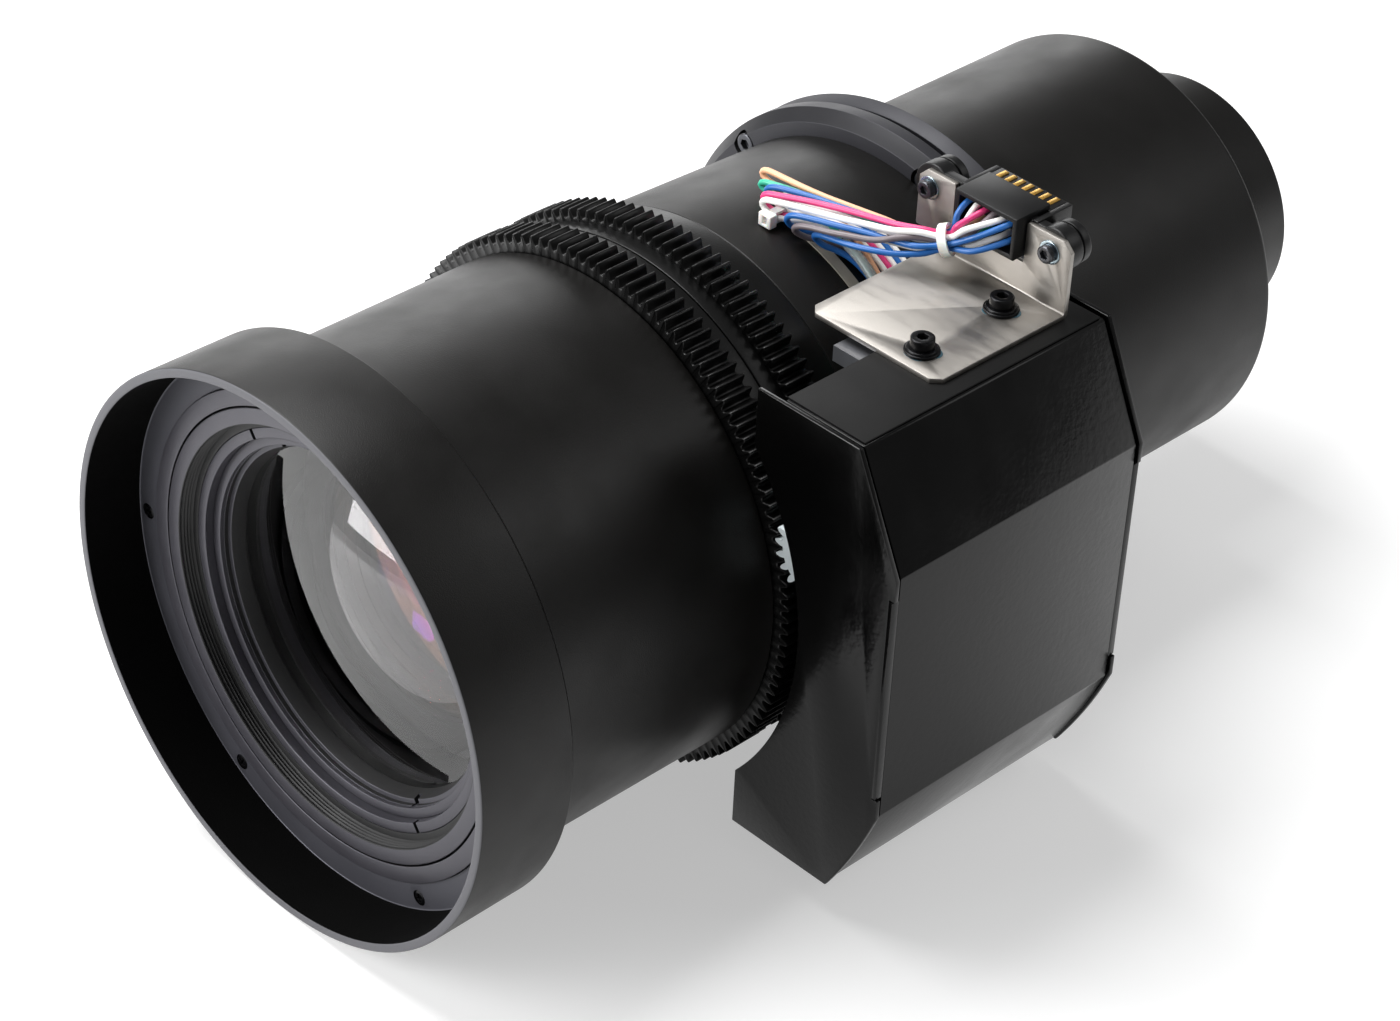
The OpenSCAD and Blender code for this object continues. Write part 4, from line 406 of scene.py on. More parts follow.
# Stations along the lens, as in the CAD source
Y_FRONT, Y_LEDGE, Y_LEDGE_REAR, Y_SHOULDER, Y_HOOD_REAR = -196.4, -181.4, -178.9, -172.9, -169.9
Y_COLLAR, Y_RETAINER, Y_LENS_RETAINER, Y_FRONT_LENS, Y_LENS_REAR = -182.2, -178.4, -176.1, -170.5, -158.1
Y_RETAINER_REAR, Y_BARREL_JOINT = -173.2, -125.4
Y_FRONT_BARREL_REAR, Y_FOCUS_FRONT, Y_FOCUS_GEAR_REAR, Y_FOCUS_REAR = -104.1, -103.8, -95.0, -91.0
Y_ZOOM_FRONT, Y_ZOOM_GEAR_FRONT, Y_ZOOM_GEAR_REAR, Y_ZOOM_REAR = -90.7, -86.7, -77.9, -68.6
Y_MID_FRONT, Y_FLANGE, Y_FLANGE_EDGE, Y_SEAT_RING = -68.3, -13.0, -6.4, -3.7
Z_FLOOR = -69.2

# Hood with its screws
HOOD_SCREWS, HOOD_SCREW_R = 6, 63.1
hood = lathe("hood", [
    (66.9, Y_FRONT, 0.35), (69.1, Y_FRONT, 0.45), (68.85, Y_HOOD_REAR - 0.8, 0.5), (68.05, Y_HOOD_REAR, 0.3),
    (66.1, Y_HOOD_REAR), (66.1, Y_LEDGE_REAR), (59.15, Y_LEDGE_REAR), (59.15, Y_LEDGE, 0.15),
    (66.1, Y_LEDGE, 0.4)], 0.1, 256)
cutters = []
for i in range(HOOD_SCREWS):
    at = polar(HOOD_SCREW_R, i * 360 / HOOD_SCREWS)
    cutters.append(rod("cutter", 1.95, Y_LEDGE - 1, Y_LEDGE + 0.9, at))
cut(hood, *cutters)


def hood_zone(c, n):
    r = math.hypot(c.x, c.z)
    if r > 67.9 and n.y > -0.6:
        return 0
    # The rim's front face takes the grey painted sheen
    if c.y < Y_FRONT + 0.6 and n.y < -0.35:
        return 1
    return 3 if c.y > Y_LEDGE - 0.3 and n.y < -0.6 else 2


finish_piece(hood, "barrel", [black_paint, rim_painted_sheen, matte_black, dark_anodised], ["hood"], hood_zone)
back_ring = lathe("hood_back_ring", [
    (61.85, Y_HOOD_REAR - 2.4), (66.05, Y_HOOD_REAR - 2.4), (66.05, Y_HOOD_REAR, 0.3),
    (61.85, Y_HOOD_REAR)], 0.1)
finish_piece(back_ring, "barrel", [black_paint], ["hood_back_ring"])

screw = lathe("hood_screw", [
    (0, Y_LEDGE + 0.02), (1.2, Y_LEDGE + 0.02), (1.88, Y_LEDGE + 0.25, 0.2), (1.88, Y_LEDGE + 0.9),
    (1.0, Y_LEDGE + 0.9), (1.0, Y_LEDGE + 5.9), (0, Y_LEDGE + 5.9)], 0.05, 32)
cross = []
for size in ((1.05, 0.2), (0.2, 1.05)):
    cross.append(block("cutter", (-size[0], Y_LEDGE - 1, -size[1]), (size[0], Y_LEDGE + 0.6, size[1])))
cut(screw, *cross)
soften(screw, 0.06)
hood_screws = ring_of("hood_screws", screw, HOOD_SCREWS, HOOD_SCREW_R, 0.0, oxide)
finish_piece(hood_screws, "barrel", [oxide], ["hood_screws"])

# Front barrel, with its lip seen inside the hood
front_barrel = lathe("front_barrel", [
    (55, Y_COLLAR, 0.2), (59.1, Y_COLLAR, 0.2), (59.1, Y_LEDGE_REAR), (66.05, Y_LEDGE_REAR),
    (66.05, Y_SHOULDER), (61.8, Y_SHOULDER), (61.8, Y_FRONT_BARREL_REAR, 0.4), (57.05, Y_FRONT_BARREL_REAR),
    (57.05, Y_BARREL_JOINT), (55, Y_BARREL_JOINT)], 0.1, 256)
finish_piece(front_barrel, "barrel", [black_paint, ring_anodised], ["front_barrel"],
             lambda c, n: 1 if c.y < -181.5 else 0)

# Middle barrel and the tube under the gear rings, with a slot for each ring's key
MID_FRONT_R, MID_REAR_R = 60.3, 58.6
main_barrel = lathe("main_barrel", [
    (54, Y_BARREL_JOINT), (57, Y_BARREL_JOINT, 0.3), (57, Y_MID_FRONT), (MID_FRONT_R, Y_MID_FRONT, 0.5),
    (MID_REAR_R, Y_FLANGE), (54, Y_FLANGE)], 0.1, 256)
KEY_SLOT_HALF, KEY_SLOT_ROOM, ARC_STEPS = 2.3, 3, 40
slots = []
for y, half in ((-99.4, 60), (-73.25, 35)):
    reach = half + KEY_SLOT_ROOM
    outline = [polar(58.5, 180 - reach + k * 2 * reach / ARC_STEPS) for k in range(ARC_STEPS + 1)]
    outline += [polar(53, 180 + reach - k * 2 * reach / ARC_STEPS) for k in range(ARC_STEPS + 1)]
    slots.append(prism("cutter", outline, y - KEY_SLOT_HALF, y + KEY_SLOT_HALF))
cut(main_barrel, *slots)
finish_piece(main_barrel, "barrel", [black_paint, cell_black], ["main_barrel"],
             lambda c, n: 0 if math.hypot(c.x, c.z) > 56 else 1)


# Gear rings: involute teeth with rounded tips and softened ends
RING_TEETH, RING_MODULE, RING_BORE = 130, 1.0, 57.05


def gear_outline(teeth, module, shrink=0.0, play=0.22):
    pitch = module * teeth / 2
    pressure = math.radians(20)
    base = pitch * math.cos(pressure)
    root, tip = pitch - 1.25 * module, pitch + module

    def half(r):
        def inv(a):
            return math.tan(a) - a
        a = math.acos(base / r) if r > base else 0.0
        return math.pi / (2 * teeth) + inv(pressure) - inv(a) - play / 2 / pitch

    side = [(root - 0.02, half(root) + 0.35 / root), (root + 0.12, half(root + 0.2) + 0.08 / root)]
    side += [(root + (tip - root) * t, half(root + (tip - root) * t)) for t in (0.3, 0.55, 0.82)]
    side += [(tip - 0.12, half(tip) - 0.04 / tip), (tip, half(tip) - 0.2 / tip)]
    out = []
    for i in range(teeth):
        middle = 2 * math.pi * i / teeth
        for r, a in side:
            out.append((r - shrink, middle - a + shrink / r))
        for r, a in reversed(side):
            out.append((r - shrink, middle + a - shrink / r))
    return [(r * math.cos(a), r * math.sin(a)) for r, a in out]


def gear_mesh(teeth, module, bore, y0, y1):
    """A toothed ring with a plain bore."""
    count = len(gear_outline(teeth, module))
    rows = []
    for y, shrink in ((y0, 0.22), (y0 + 0.08, 0.08), (y0 + 0.26, 0.0),
                      (y1 - 0.26, 0.0), (y1 - 0.08, 0.08), (y1, 0.22)):
        rows.append([(x, y, z) for x, z in gear_outline(teeth, module, shrink)])
    for y in (y1, y0):
        rows.append([(bore * math.cos(2 * math.pi * (k - 6.5) / count), y,
                      bore * math.sin(2 * math.pi * (k - 6.5) / count)) for k in range(count)])
    verts = [v for row in rows for v in row]
    faces = []
    for i in range(len(rows)):
        j = (i + 1) % len(rows)
        for k in range(count):
            m = (k + 1) % count
            faces.append((i * count + k, i * count + m, j * count + m, j * count + k))
    return verts, faces


def gear_ring(name, body, gear_y, bands):
    pieces = [new_piece("part", *gear_mesh(RING_TEETH, RING_MODULE, RING_BORE, *gear_y))]
    for r, y0, y1 in bands:
        band = [(RING_BORE, y0), (r, y0, 0.25), (r, y1, 0.25), (RING_BORE, y1)]
        pieces.append(lathe("part", band, 0.1, 256))
    return finish_piece(joined(name, pieces), body, [gear_plastic], [name], sharp=50)


gear_ring("focus_ring", "focus_drive", (Y_FOCUS_FRONT, Y_FOCUS_GEAR_REAR),
          [(62.9, Y_FOCUS_GEAR_REAR - 0.4, Y_FOCUS_REAR)])
gear_ring("zoom_ring", "zoom_drive", (Y_ZOOM_GEAR_FRONT, Y_ZOOM_GEAR_REAR),
          [(62.9, Y_ZOOM_FRONT, Y_ZOOM_GEAR_FRONT + 0.4), (60.6, Y_ZOOM_GEAR_REAR - 0.4, Y_ZOOM_REAR)])

# Flange, seat ring and their screws
FLANGE_SCREWS, FLANGE_SCREW_R, FLANGE_START = 6, 60.2, 15.0
flange = lathe("flange_plate", [
    (54, Y_FLANGE), (62.05, Y_FLANGE, 0.3), (65.05, Y_FLANGE + 3, 0.3), (65.05, Y_FLANGE_EDGE, 0.3),
    (61, Y_FLANGE_EDGE), (61, Y_SEAT_RING), (54, Y_SEAT_RING)], 0.1, 256)
screw_spots = [polar(FLANGE_SCREW_R, FLANGE_START + 60 * i) for i in range(FLANGE_SCREWS)]
cut(flange, *[rod("cutter", 3.5, Y_FLANGE - 1, -9.7, spot, sides=40) for spot in screw_spots])
finish_piece(flange, "barrel", [flange_anodised, chamfer_anodised, cell_black], ["flange_plate"],
             lambda c, n: 2 if -12.9 < c.y < -9.6 and math.hypot(c.x, c.z) < 64 and abs(n.y) < 0.5
             else 1 if -12.9 < c.y < -10.05 and n.y < -0.3 and math.hypot(c.x, c.z) > 62 else 0)
seat = lathe("seat_ring", [
    (54, Y_SEAT_RING), (63.55, Y_SEAT_RING, 0.3), (65.05, -0.3), (64.75, 0), (55.3, 0), (55.3, -0.5),
    (54, -0.5)], 0.1, 256)
finish_piece(seat, "barrel", [flange_anodised], ["seat_ring"])


def cap_screw(name, head_r, head_h, socket_size, socket_depth, shank_r, shank_len, sides=40):
    """A cap screw along +Y with its head's top at y 0, its socket open towards -Y."""
    made = lathe(name, [
        (0, 0), (head_r, 0, 0.35), (head_r, head_h, 0.12), (shank_r, head_h), (shank_r, head_h + shank_len),
        (0, head_h + shank_len)], 0.05, sides)
    cut(made, rod("cutter", socket_size / math.sqrt(3), -1, socket_depth, (0, 0), sides=6))
    return soften(made, 0.1, 2, 40)


Y_SCREW_HEAD = -12.7
flange_screw = moved(cap_screw("part", 2.72, 3, 2.5, 1.5, 1.5, 9.3), shift(0, Y_SCREW_HEAD, 0))
flange_screws = ring_of("flange_screws", flange_screw, FLANGE_SCREWS, FLANGE_SCREW_R, FLANGE_START,
                        screw_steel)
finish_piece(flange_screws, "barrel", [screw_steel], ["flange_screws"])

# Rear barrel and tail tube
rear_barrel = lathe("rear_barrel", [
    (50, -22), (53.95, -22), (53.95, 0), (55, 0), (55, 79.2, 1.6), (33.85, 79.2), (33.85, 74.2), (50, 74.2)],
    0.1, 256, 5)
finish_piece(rear_barrel, "barrel", [black_paint], ["rear_barrel"])
tail = lathe("tail_tube", [
    (27.05, 48.2), (33.8, 48.2), (33.8, 70.2), (41.8, 70.2), (41.8, 74.2), (33.8, 74.2), (33.8, 112, 0.7),
    (29.05, 112, 0.2), (29.05, 99), (26.5, 99), (26.5, 96.5), (30.2, 96.5), (30.2, 58.7), (24.5, 58.7),
    (24.5, 56.2), (27.05, 56.2)], 0.1, 192)
finish_piece(tail, "barrel", [black_paint, cell_black], ["tail_tube"],
             lambda c, n: 0 if math.hypot(c.x, c.z) > 31 else 1)
rear_retainer = lathe("rear_retainer", [(25, 108), (29, 108), (29, 111.4, 0.2), (25, 111.4, 0.5)], 0.1)
finish_piece(rear_retainer, "barrel", [ring_anodised], ["rear_retainer"])

# Focus cell: collar with its thread, then the two retaining rings
cell = lathe("focus_cell", [
    (50.7, Y_COLLAR, 0.25), (54.6, Y_COLLAR, 0.25), (54.6, -176.2), (53.95, -176.2), (53.95, -92.6),
    (50, -92.6), (50, -129), (34.05, -134), (34.05, -138), (31.5, -138), (33.5, -144.1), (36.05, -144.1),
    (36.05, -152.1), (39.4, Y_LENS_REAR), (45.45, Y_LENS_REAR), (45.45, Y_FRONT_LENS), (46, Y_FRONT_LENS),
    (46, Y_RETAINER_REAR), (48.65, Y_RETAINER_REAR), (48.65, Y_RETAINER), (50.35, Y_RETAINER),
    (50.9, -179.0), (50.35, -179.4), (50.95, -179.8), (50.4, -180.2), (51.0, -180.6), (50.5, -181.0),
    (51.05, -181.4), (50.6, -181.8)], 0.05, 256)
finish_piece(cell, "focus_group", [ring_anodised, cell_black], ["focus_cell"],
             lambda c, n: 0 if c.y < -178.3 and math.hypot(c.x, c.z) > 51.0 and n.y < -0.3 else 1)


def notched_ring(name, profile, radius, notch, materials, pick):
    """A retaining ring with a spanner notch on each side."""
    made = lathe(name, profile, radius, 256)
    angle, half, low, high, r0, r1 = notch
    cutters = []
    for side in (0, 180):
        box = block("cutter", (r0, low, -half), (r1, high, half))
        cutters.append(moved(box, Matrix.Rotation(-math.radians(angle + side), 4, "Y")))
    cut(made, *cutters)
    return finish_piece(made, "focus_group", materials, [name], pick)


notched_ring("front_retaining_ring", [
    (46, Y_RETAINER, 0.25), (48.6, Y_RETAINER, 0.25), (48.6, Y_RETAINER_REAR), (46, Y_RETAINER_REAR)], 0.1,
    (125, 0.6, -179, -176.8, 45.5, 49), [ring_anodised, cell_black],
    lambda c, n: 1 if n.y > -0.2 and math.hypot(c.x, c.z) > 46.1 else 0)
notched_ring("lens_retainer", [
    (45.95, Y_LENS_RETAINER, 0.15), (45.95, Y_FRONT_LENS), (41.2, Y_FRONT_LENS), (42.3, -173.9, 0.2),
    (43.4, -173.9), (43.4, -175.0, 0.12), (43.55, -175.0), (43.55, Y_LENS_RETAINER, 0.15)], 0.05,
    (-59, 0.8, -176.6, -172.3, 41, 43.6), [ring_anodised, cell_black],
    lambda c, n: 1 if math.hypot(c.x, c.z) < 43.5 and n.y > -0.5 else 0)


# Lenses
def sag(radius, r):
    """Depth of a sphere's cap at a distance from the axis, negative for a hollow face."""
    depth = abs(radius) - math.sqrt(radius * radius - r * r)
    return depth if radius > 0 else -depth


def lens(name, body, r_rim, rim, y0, y1, front, rear, material, sides=192):
    """A lens with a flat rim round two spherical faces, whose radii may be negative."""
    face = r_rim - rim
    steps = 24
    radii = [face * i / steps for i in range(steps + 1)]
    profile = [(r, y0 - sag(front, face) + sag(front, r)) for r in radii]
    profile += [(r_rim, y0), (r_rim, y1)]
    profile += [(r, y1 - sag(rear, face) + sag(rear, r)) for r in reversed(radii)]
    made = new_piece(name, *lathe_mesh(profile, sides))
    return finish_piece(made, body, [material, cell_black], [name],
                        lambda c, n: 1 if math.hypot(c.x, c.z) > face + 0.2 else 0, 20)


lens("front_lens", "focus_group", 45.4, 4.2, Y_FRONT_LENS, Y_LENS_REAR, 240, 78, front_glass)
lens("second_lens", "focus_group", 36, 1.4, -152.1, -144.1, -200, 200, inner_glass)
lens("third_lens", "focus_group", 34, 1.4, -138, -134, 120, -64, inner_glass)
lens("fourth_lens", "zoom_group", 30, 1.4, -74.65, -65.65, -120, 110, deep_glass)
lens("fifth_lens", "zoom_group", 28, 1.4, -57.65, -52.65, 64, -70, deep_glass)
lens("sixth_lens", "barrel", 27, 1.4, 48.2, 56.2, 70, -120, deep_glass)
lens("rear_lens", "barrel", 29, 5.4, 99, 108, 90, -160, deep_glass)

# Motor box
BOX_FRONT, BOX_REAR, SHEET = -105.4, -24.9, 1.2
HALF_H, SIDE_X, EDGE_X, FLAT_H, INNER_X = 60.3, 97.5, 84.2, 32.8, 54.0
SLOPE_X, SLOPE_Z = SIDE_X - EDGE_X, HALF_H - FLAT_H
SLOPE = math.hypot(SLOPE_X, SLOPE_Z)
TAB_H = 27.5
PAINTED_SHEET = [gloss_sheet, sheet_edge]


def slope_point(t):
    bulge = 0.8 * 4 * t * (1 - t)
    return SIDE_X - SLOPE_X * t + bulge * SLOPE_Z / SLOPE, -FLAT_H - SLOPE_Z * t - bulge * SLOPE_X / SLOPE


def box_line(x_top, x_bottom, steps=20):
    line = [(x_top, HALF_H), (EDGE_X, HALF_H), (SIDE_X, FLAT_H)]
    line += [slope_point(i / steps) for i in range(steps + 1)]
    return line + [(x_bottom, -HALF_H)]


def inset(line, d):
    points = [Vector(p) for p in line]
    sides = [Vector((-(b - a).y, (b - a).x)).normalized() for a, b in zip(points, points[1:])]
    out = []
    for i, p in enumerate(points):
        n1, n2 = sides[max(0, i - 1)], sides[min(i, len(sides) - 1)]
        out.append(p - d * (n1 + n2) / (1 + n1.dot(n2)))
    return out


def end_plate(name, y0, arc_r):
    line = box_line(INNER_X, INNER_X)
    top = math.degrees(math.asin(min(1, HALF_H / arc_r))) if arc_r > HALF_H else 90
    start = min(top, math.degrees(math.acos(INNER_X / arc_r)))
    arc = [polar(arc_r, -start + 2 * start * k / 48) for k in range(49)]
    tab_x = SIDE_X - 0.5 - SHEET
    outline = []
    for p in line:
        outline.append(p)
        if p == (SIDE_X, FLAT_H):
            outline += [(SIDE_X, TAB_H), (tab_x, TAB_H), (tab_x, -TAB_H), (SIDE_X, -TAB_H)]
    outline += [p for p in arc if p[0] >= INNER_X - 1e-6]
    piece = prism(name, outline, y0, y0 + SHEET)
    soften(piece, 0.22, 2, 30, PAINTED_SHEET)
    return finish_piece(piece, "barrel", PAINTED_SHEET, [name])


end_plate("box_front_plate", BOX_FRONT, 70.5)
end_plate("box_rear_plate", BOX_REAR - SHEET, 61.5)

cover_line = box_line(60.4, 56.0)
outer, inner = inset(cover_line, 0.5), inset(cover_line, 0.5 + SHEET)
cover = [prism("part", fillet([(p.x, p.y) for p in outer], 0.9, 4) + list(reversed(inner)), -103.4, -26.9)]
for start in (BOX_FRONT, -26.9):
    cover.append(block("part", (SIDE_X - 0.5 - SHEET, start, -TAB_H + 0.3),
                       (SIDE_X - 0.5, start + 2.0, TAB_H - 0.3)))
cover = joined("box_cover", cover)
soften(cover, 0.15, 2, 40, PAINTED_SHEET)
finish_piece(cover, "barrel", PAINTED_SHEET, ["box_cover"])

top = block("box_top_plate", (60.4, -102.7, 59.8), (83.2, -27.6, 60.3))
soften(top, 0.12)
finish_piece(top, "barrel", [film], ["box_top_plate"])


# Bright angle bracket: a flat blank with its notch, bent up at the rear
BASE_SCREW_X, BASE_SCREW_Y = 68, (-69.3, -43.7)
TAB_SCREW_X, TAB_SCREW_Z = (36.7, 72.8), 75
SCREW_HOLE_R = 1.55


def bracket():
    front, bend, r = -76.0, 40.8, 1.6
    run = r * math.pi / 2
    foot = bend + run
    flat = [(42.2, 0), (76.5, 0), (78.7, 2.2), (78.7, foot + 15.2), (76.5, foot + 17.4),
            (65.7, foot + 17.4), (65.7, foot + 7.1), (44.3, foot + 7.1), (44.3, foot + 17.4),
            (35.7, foot + 17.4), (33.5, foot + 15.2), (33.5, foot + 2.5), (40, foot + 2.5), (40, 2.2)]
    piece = prism("connector_bracket", fillet(flat, 0.5, 2), 0, SHEET, "z")
    spots = [(BASE_SCREW_X, y - front) for y in BASE_SCREW_Y]
    spots += [(x, foot + TAB_SCREW_Z - HALF_H - r) for x in TAB_SCREW_X]
    holes = [rod("cutter", SCREW_HOLE_R, -1, 3, spot, "z") for spot in spots]
    cut(piece, *holes)
    soften(piece, 0.12, 2, 40, [stainless, steel_edge])
    body = bmesh.new()
    body.from_mesh(piece.data)
    for k in range(9):
        at = (bend + run * k / 8) * MM
        bmesh.ops.bisect_plane(body, geom=body.verts[:] + body.edges[:] + body.faces[:],
                               plane_co=(0, at, 0), plane_no=(0, 1, 0))
    for v in body.verts:
        s, t = v.co.y / MM, v.co.z / MM
        if s <= bend:
            y, z = front + s, HALF_H + t
        elif s >= foot:
            y, z = -33.6 - t, HALF_H + r + s - foot
        else:
            a = (s - bend) / r
            y, z = -35.2 + (r - t) * math.sin(a), HALF_H + r - (r - t) * math.cos(a)
        v.co.y, v.co.z = y * MM, z * MM
    bmesh.ops.recalc_face_normals(body, faces=body.faces)
    body.to_mesh(piece.data)
    body.free()
    return finish_piece(piece, "barrel", [stainless, steel_edge], ["connector_bracket"])


bracket()

# Base screws with their washers, and traces of threadlocker
Z_BRACKET = HALF_H + SHEET
up_turn = Matrix.Rotation(math.radians(-90), 4, "X")
heads, washers, traces = [], [], []
for k, y in enumerate(BASE_SCREW_Y):
    head = cap_screw("part", 2.78, 3.0, 2.5, 1.5, 1.5, 6.7)
    heads.append(moved(head, shift(BASE_SCREW_X, y, Z_BRACKET + 3.7) @ up_turn))
    collar = lathe("part", [(2.6, 0), (3.5, 0, 0.3), (3.7, 0.5, 0.2), (2.6, 0.5)], 0.1, 40)
    heads.append(moved(collar, shift(BASE_SCREW_X, y, Z_BRACKET + 1.2) @ up_turn))
    washer = lathe("part", [(1.55, 0), (4.1, 0, 0.25), (4.1, 0.7, 0.1), (1.55, 0.7)], 0.1, 48)
    washers.append(moved(washer, shift(BASE_SCREW_X, y, Z_BRACKET + 0.7) @ up_turn))
    outline = [polar(4.15 + 0.3 * math.sin(3 * a + k) + 0.2 * math.sin(5 * a), math.degrees(a))
               for a in [2 * math.pi * i / 60 for i in range(60)]]
    trace = prism("part", outline, 0, 0.05, "z")
    traces.append(moved(trace, shift(BASE_SCREW_X + 0.1, y + 0.15, Z_BRACKET + 0.01)))
finish_piece(joined("bracket_screws", heads), "barrel", [oxide], ["bracket_screws"])
finish_piece(joined("bracket_washers", washers), "barrel", [oxide], ["bracket_washers"])
finish_piece(joined("threadlocker_traces", traces), "barrel", [threadlocker])

# Connector body with its pocket for the wires, rails and ears
CX, CONTACT_PITCH = 56.3, 2.54
Y_PLUG, Z_RAIL_TOP = -22.0, 79.8
shell = block("part", (CX - 9.1, -38.2, 70.4), (CX + 9.1, -27, 81))
cut(shell, block("cutter", (CX - 7.9, -39.2, 71.6), (CX + 7.9, -33, Z_RAIL_TOP)))
body_parts = [soften(shell, 0.25)]
for x in TAB_SCREW_X:
    ear = lathe("part", [
        (0, -33.6), (5.4, -33.6, 0.3), (5.4, -29.6, 0.3), (4.7, -29.6, 0.1), (4.7, -28.9, 0.1),
        (5.2, -28.9, 0.2), (5.2, -26.6, 0.5), (2.0, -26.6), (2.0, -28), (0, -28)], 0.1, 48)
    body_parts.append(moved(ear, shift(x, 0, TAB_SCREW_Z)))
bars = [((TAB_SCREW_X[0], -33.6, 70.5), (TAB_SCREW_X[1], -31.0, 79.5), 0.3),
        ((CX - 9.8, -28, 75.2), (CX + 9.8, Y_PLUG, Z_RAIL_TOP), 0.2)]
for side in (-1, 1):
    x = CX + side * 10.6
    lip = sorted((x, x - side * 1.6))
    bars.append(((x - 0.8, -33.6, 73), (x + 0.8, Y_PLUG, Z_RAIL_TOP), 0.2))
    bars.append(((lip[0], -27.4, 73), (lip[1], Y_PLUG, 74.2), 0.2))
body_parts += [soften(block("part", low, high), width) for low, high, width in bars]
finish_piece(joined("connector_body", body_parts), "barrel", [connector_plastic], ["connector_body"])

contacts = []
for place in range(-3, 4):
    x = CX + place * CONTACT_PITCH
    for z in (75.0, Z_RAIL_TOP):
        strip = block("part", (x - 0.65, -27, z), (x + 0.65, -22.6, z + 0.2))
        contacts.append(soften(strip, 0.06))
finish_piece(joined("connector_contacts", contacts), "barrel", [gold], ["connector_contacts"])

tab_heads, tab_rings = [], []
for x in TAB_SCREW_X:
    head = cap_screw("part", 2.1, 2.0, 2.0, 1.1, 1.3, 6.9)
    tab_heads.append(moved(head, shift(x, -36.8, TAB_SCREW_Z)))
    lock = lathe("part", [(2.12, -35.1), (2.85, -35.1, 0.1), (2.85, -34.82), (2.12, -34.82)], 0.05, 40)
    tab_rings.append(moved(lock, shift(x, 0, TAB_SCREW_Z)))
finish_piece(joined("connector_screws", tab_heads), "barrel", [screw_steel], ["connector_screws"])
finish_piece(joined("tab_screw_rings", tab_rings), "barrel", [zinc])


# Wires: the CAD source's routes, drawn as smooth round tubes
def smooth(points, step):
    pts = [Vector(p) for p in points]
    out = []
    for i in range(len(pts) - 1):
        a, b, c, d = pts[max(i - 1, 0)], pts[i], pts[i + 1], pts[min(i + 2, len(pts) - 1)]
        parts = max(1, round((c - b).length / step))
        for k in range(parts):
            t = k / parts
            out.append(0.5 * ((2 * b) + (c - a) * t + (2 * a - 5 * b + 4 * c - d) * t * t
                              + (3 * b - a - 3 * c + d) * t ** 3))
    return out + [pts[-1]]


def tube(name, line, radius, sides=16, inner=None):
    """A round tube along a line, closed at its ends, or hollow where an inner radius is given."""
    frames, side = [], Vector((0, 0, 1))
    for i in range(len(line)):
        t = (line[min(i + 1, len(line) - 1)] - line[max(i - 1, 0)]).normalized()
        side = (side - t * side.dot(t)).normalized()
        frames.append((side, t.cross(side)))
    rows = [(line[i], frames[i], radius) for i in range(len(line))]
    if inner:
        rows += [(line[i], frames[i], inner) for i in reversed(range(len(line)))]
    verts = []
    for p, (u, v), r in rows:
        verts += [p + r * (math.cos(2 * math.pi * k / sides) * u + math.sin(2 * math.pi * k / sides) * v)
                  for k in range(sides)]
    faces = []
    for i in range(len(rows) if inner else len(rows) - 1):
        j = (i + 1) % len(rows)
        for k in range(sides):
            m = (k + 1) % sides
            faces.append((i * sides + k, i * sides + m, j * sides + m, j * sides + k))
    if not inner:
        faces.append(tuple(range(sides)))
        faces.append(tuple((len(rows) - 1) * sides + k for k in range(sides)))
    return new_piece(name, verts, faces)


# Centre of the bundle in the first tie, the direction across it, and the wires' spacing there
WIRE_R = 0.73
TIE = Vector((49.5, -41.5, 70))
ACROSS = Vector((0.5, -0.86, 0))
PITCH = 1.485
WIRE_STEP = 0.7


def wire_route(place, row, mid, across, up_share, route, header):
    """Points of a wire from its contact, through the first tie, to its place on the terminal board."""
    start = Vector((CX + (place - 2.5) * CONTACT_PITCH, -33, (78.3, 73.9)[row]))
    tie = TIE + PITCH * (across * ACROSS + Vector((0, 0, up_share)))
    end = -56 + 1.6 * (header + 1)
    return [start, start - Vector((0, 3.9, 0)), mid, tie, *route, (51.8, end, 52.95), (57, end, 52.95)]


# Points of the ten routes, from the first tie to the terminal board
BLUE_A = [
    (44, -43.2, 70.1), (38, -44.6, 69), (32, -45.2, 68.2), (26, -45.8, 67.6), (20, -46.5, 67),
    (14, -47, 66.4), (8, -48, 65.8), (3.2, -49, 65.2), (0.9, -49.3, 64.2), (0.2, -49.2, 63),
    (1.2, -49.1, 61.9), (4, -49, 61.7), (8.4, -48.6, 61.5), (12, -46, 61.5), (16, -42.3, 60.5),
    (20, -39.3, 59.3), (24, -37.6, 57.8), (30, -37.2, 54.6), (37, -38.1, 51.3), (45, -40, 51)
]
WHITE_A = [
    (44.4, -46, 71.3), (38.5, -48.3, 70), (32, -49.3, 68.8), (26, -50.8, 68), (20, -52.1, 67.3),
    (14, -53.3, 66.6), (8, -54.2, 65.6), (5, -54.4, 64.8), (3.8, -54.3, 63.6), (4.2, -54.1, 62.4),
    (6, -53.9, 61.5), (9, -53.5, 61.4), (12, -51.4, 61.5), (16, -48, 60.5), (20, -45, 59.3),
    (24, -42.4, 57.8), (30, -42, 54.6), (37, -42.9, 51.4), (45, -45.2, 51.2)
]
PINK = [
    (44, -44.7, 71.4), (38, -46.2, 70.4), (32, -46.9, 69.5), (26, -47.8, 68.7), (20, -49, 67.9),
    (14, -50.4, 67.1), (8, -52, 66.2), (3.8, -52.7, 65.2), (2.6, -52.8, 64), (2.9, -52.6, 62.6),
    (4.6, -52.4, 61.6), (8.6, -52, 61.4), (12, -49.6, 61.5), (16, -46.1, 60.5), (20, -43.1, 59.3),
    (24, -40.8, 57.8), (30, -40.4, 54.6), (37, -41.3, 51.3), (45, -43.4, 51)
]
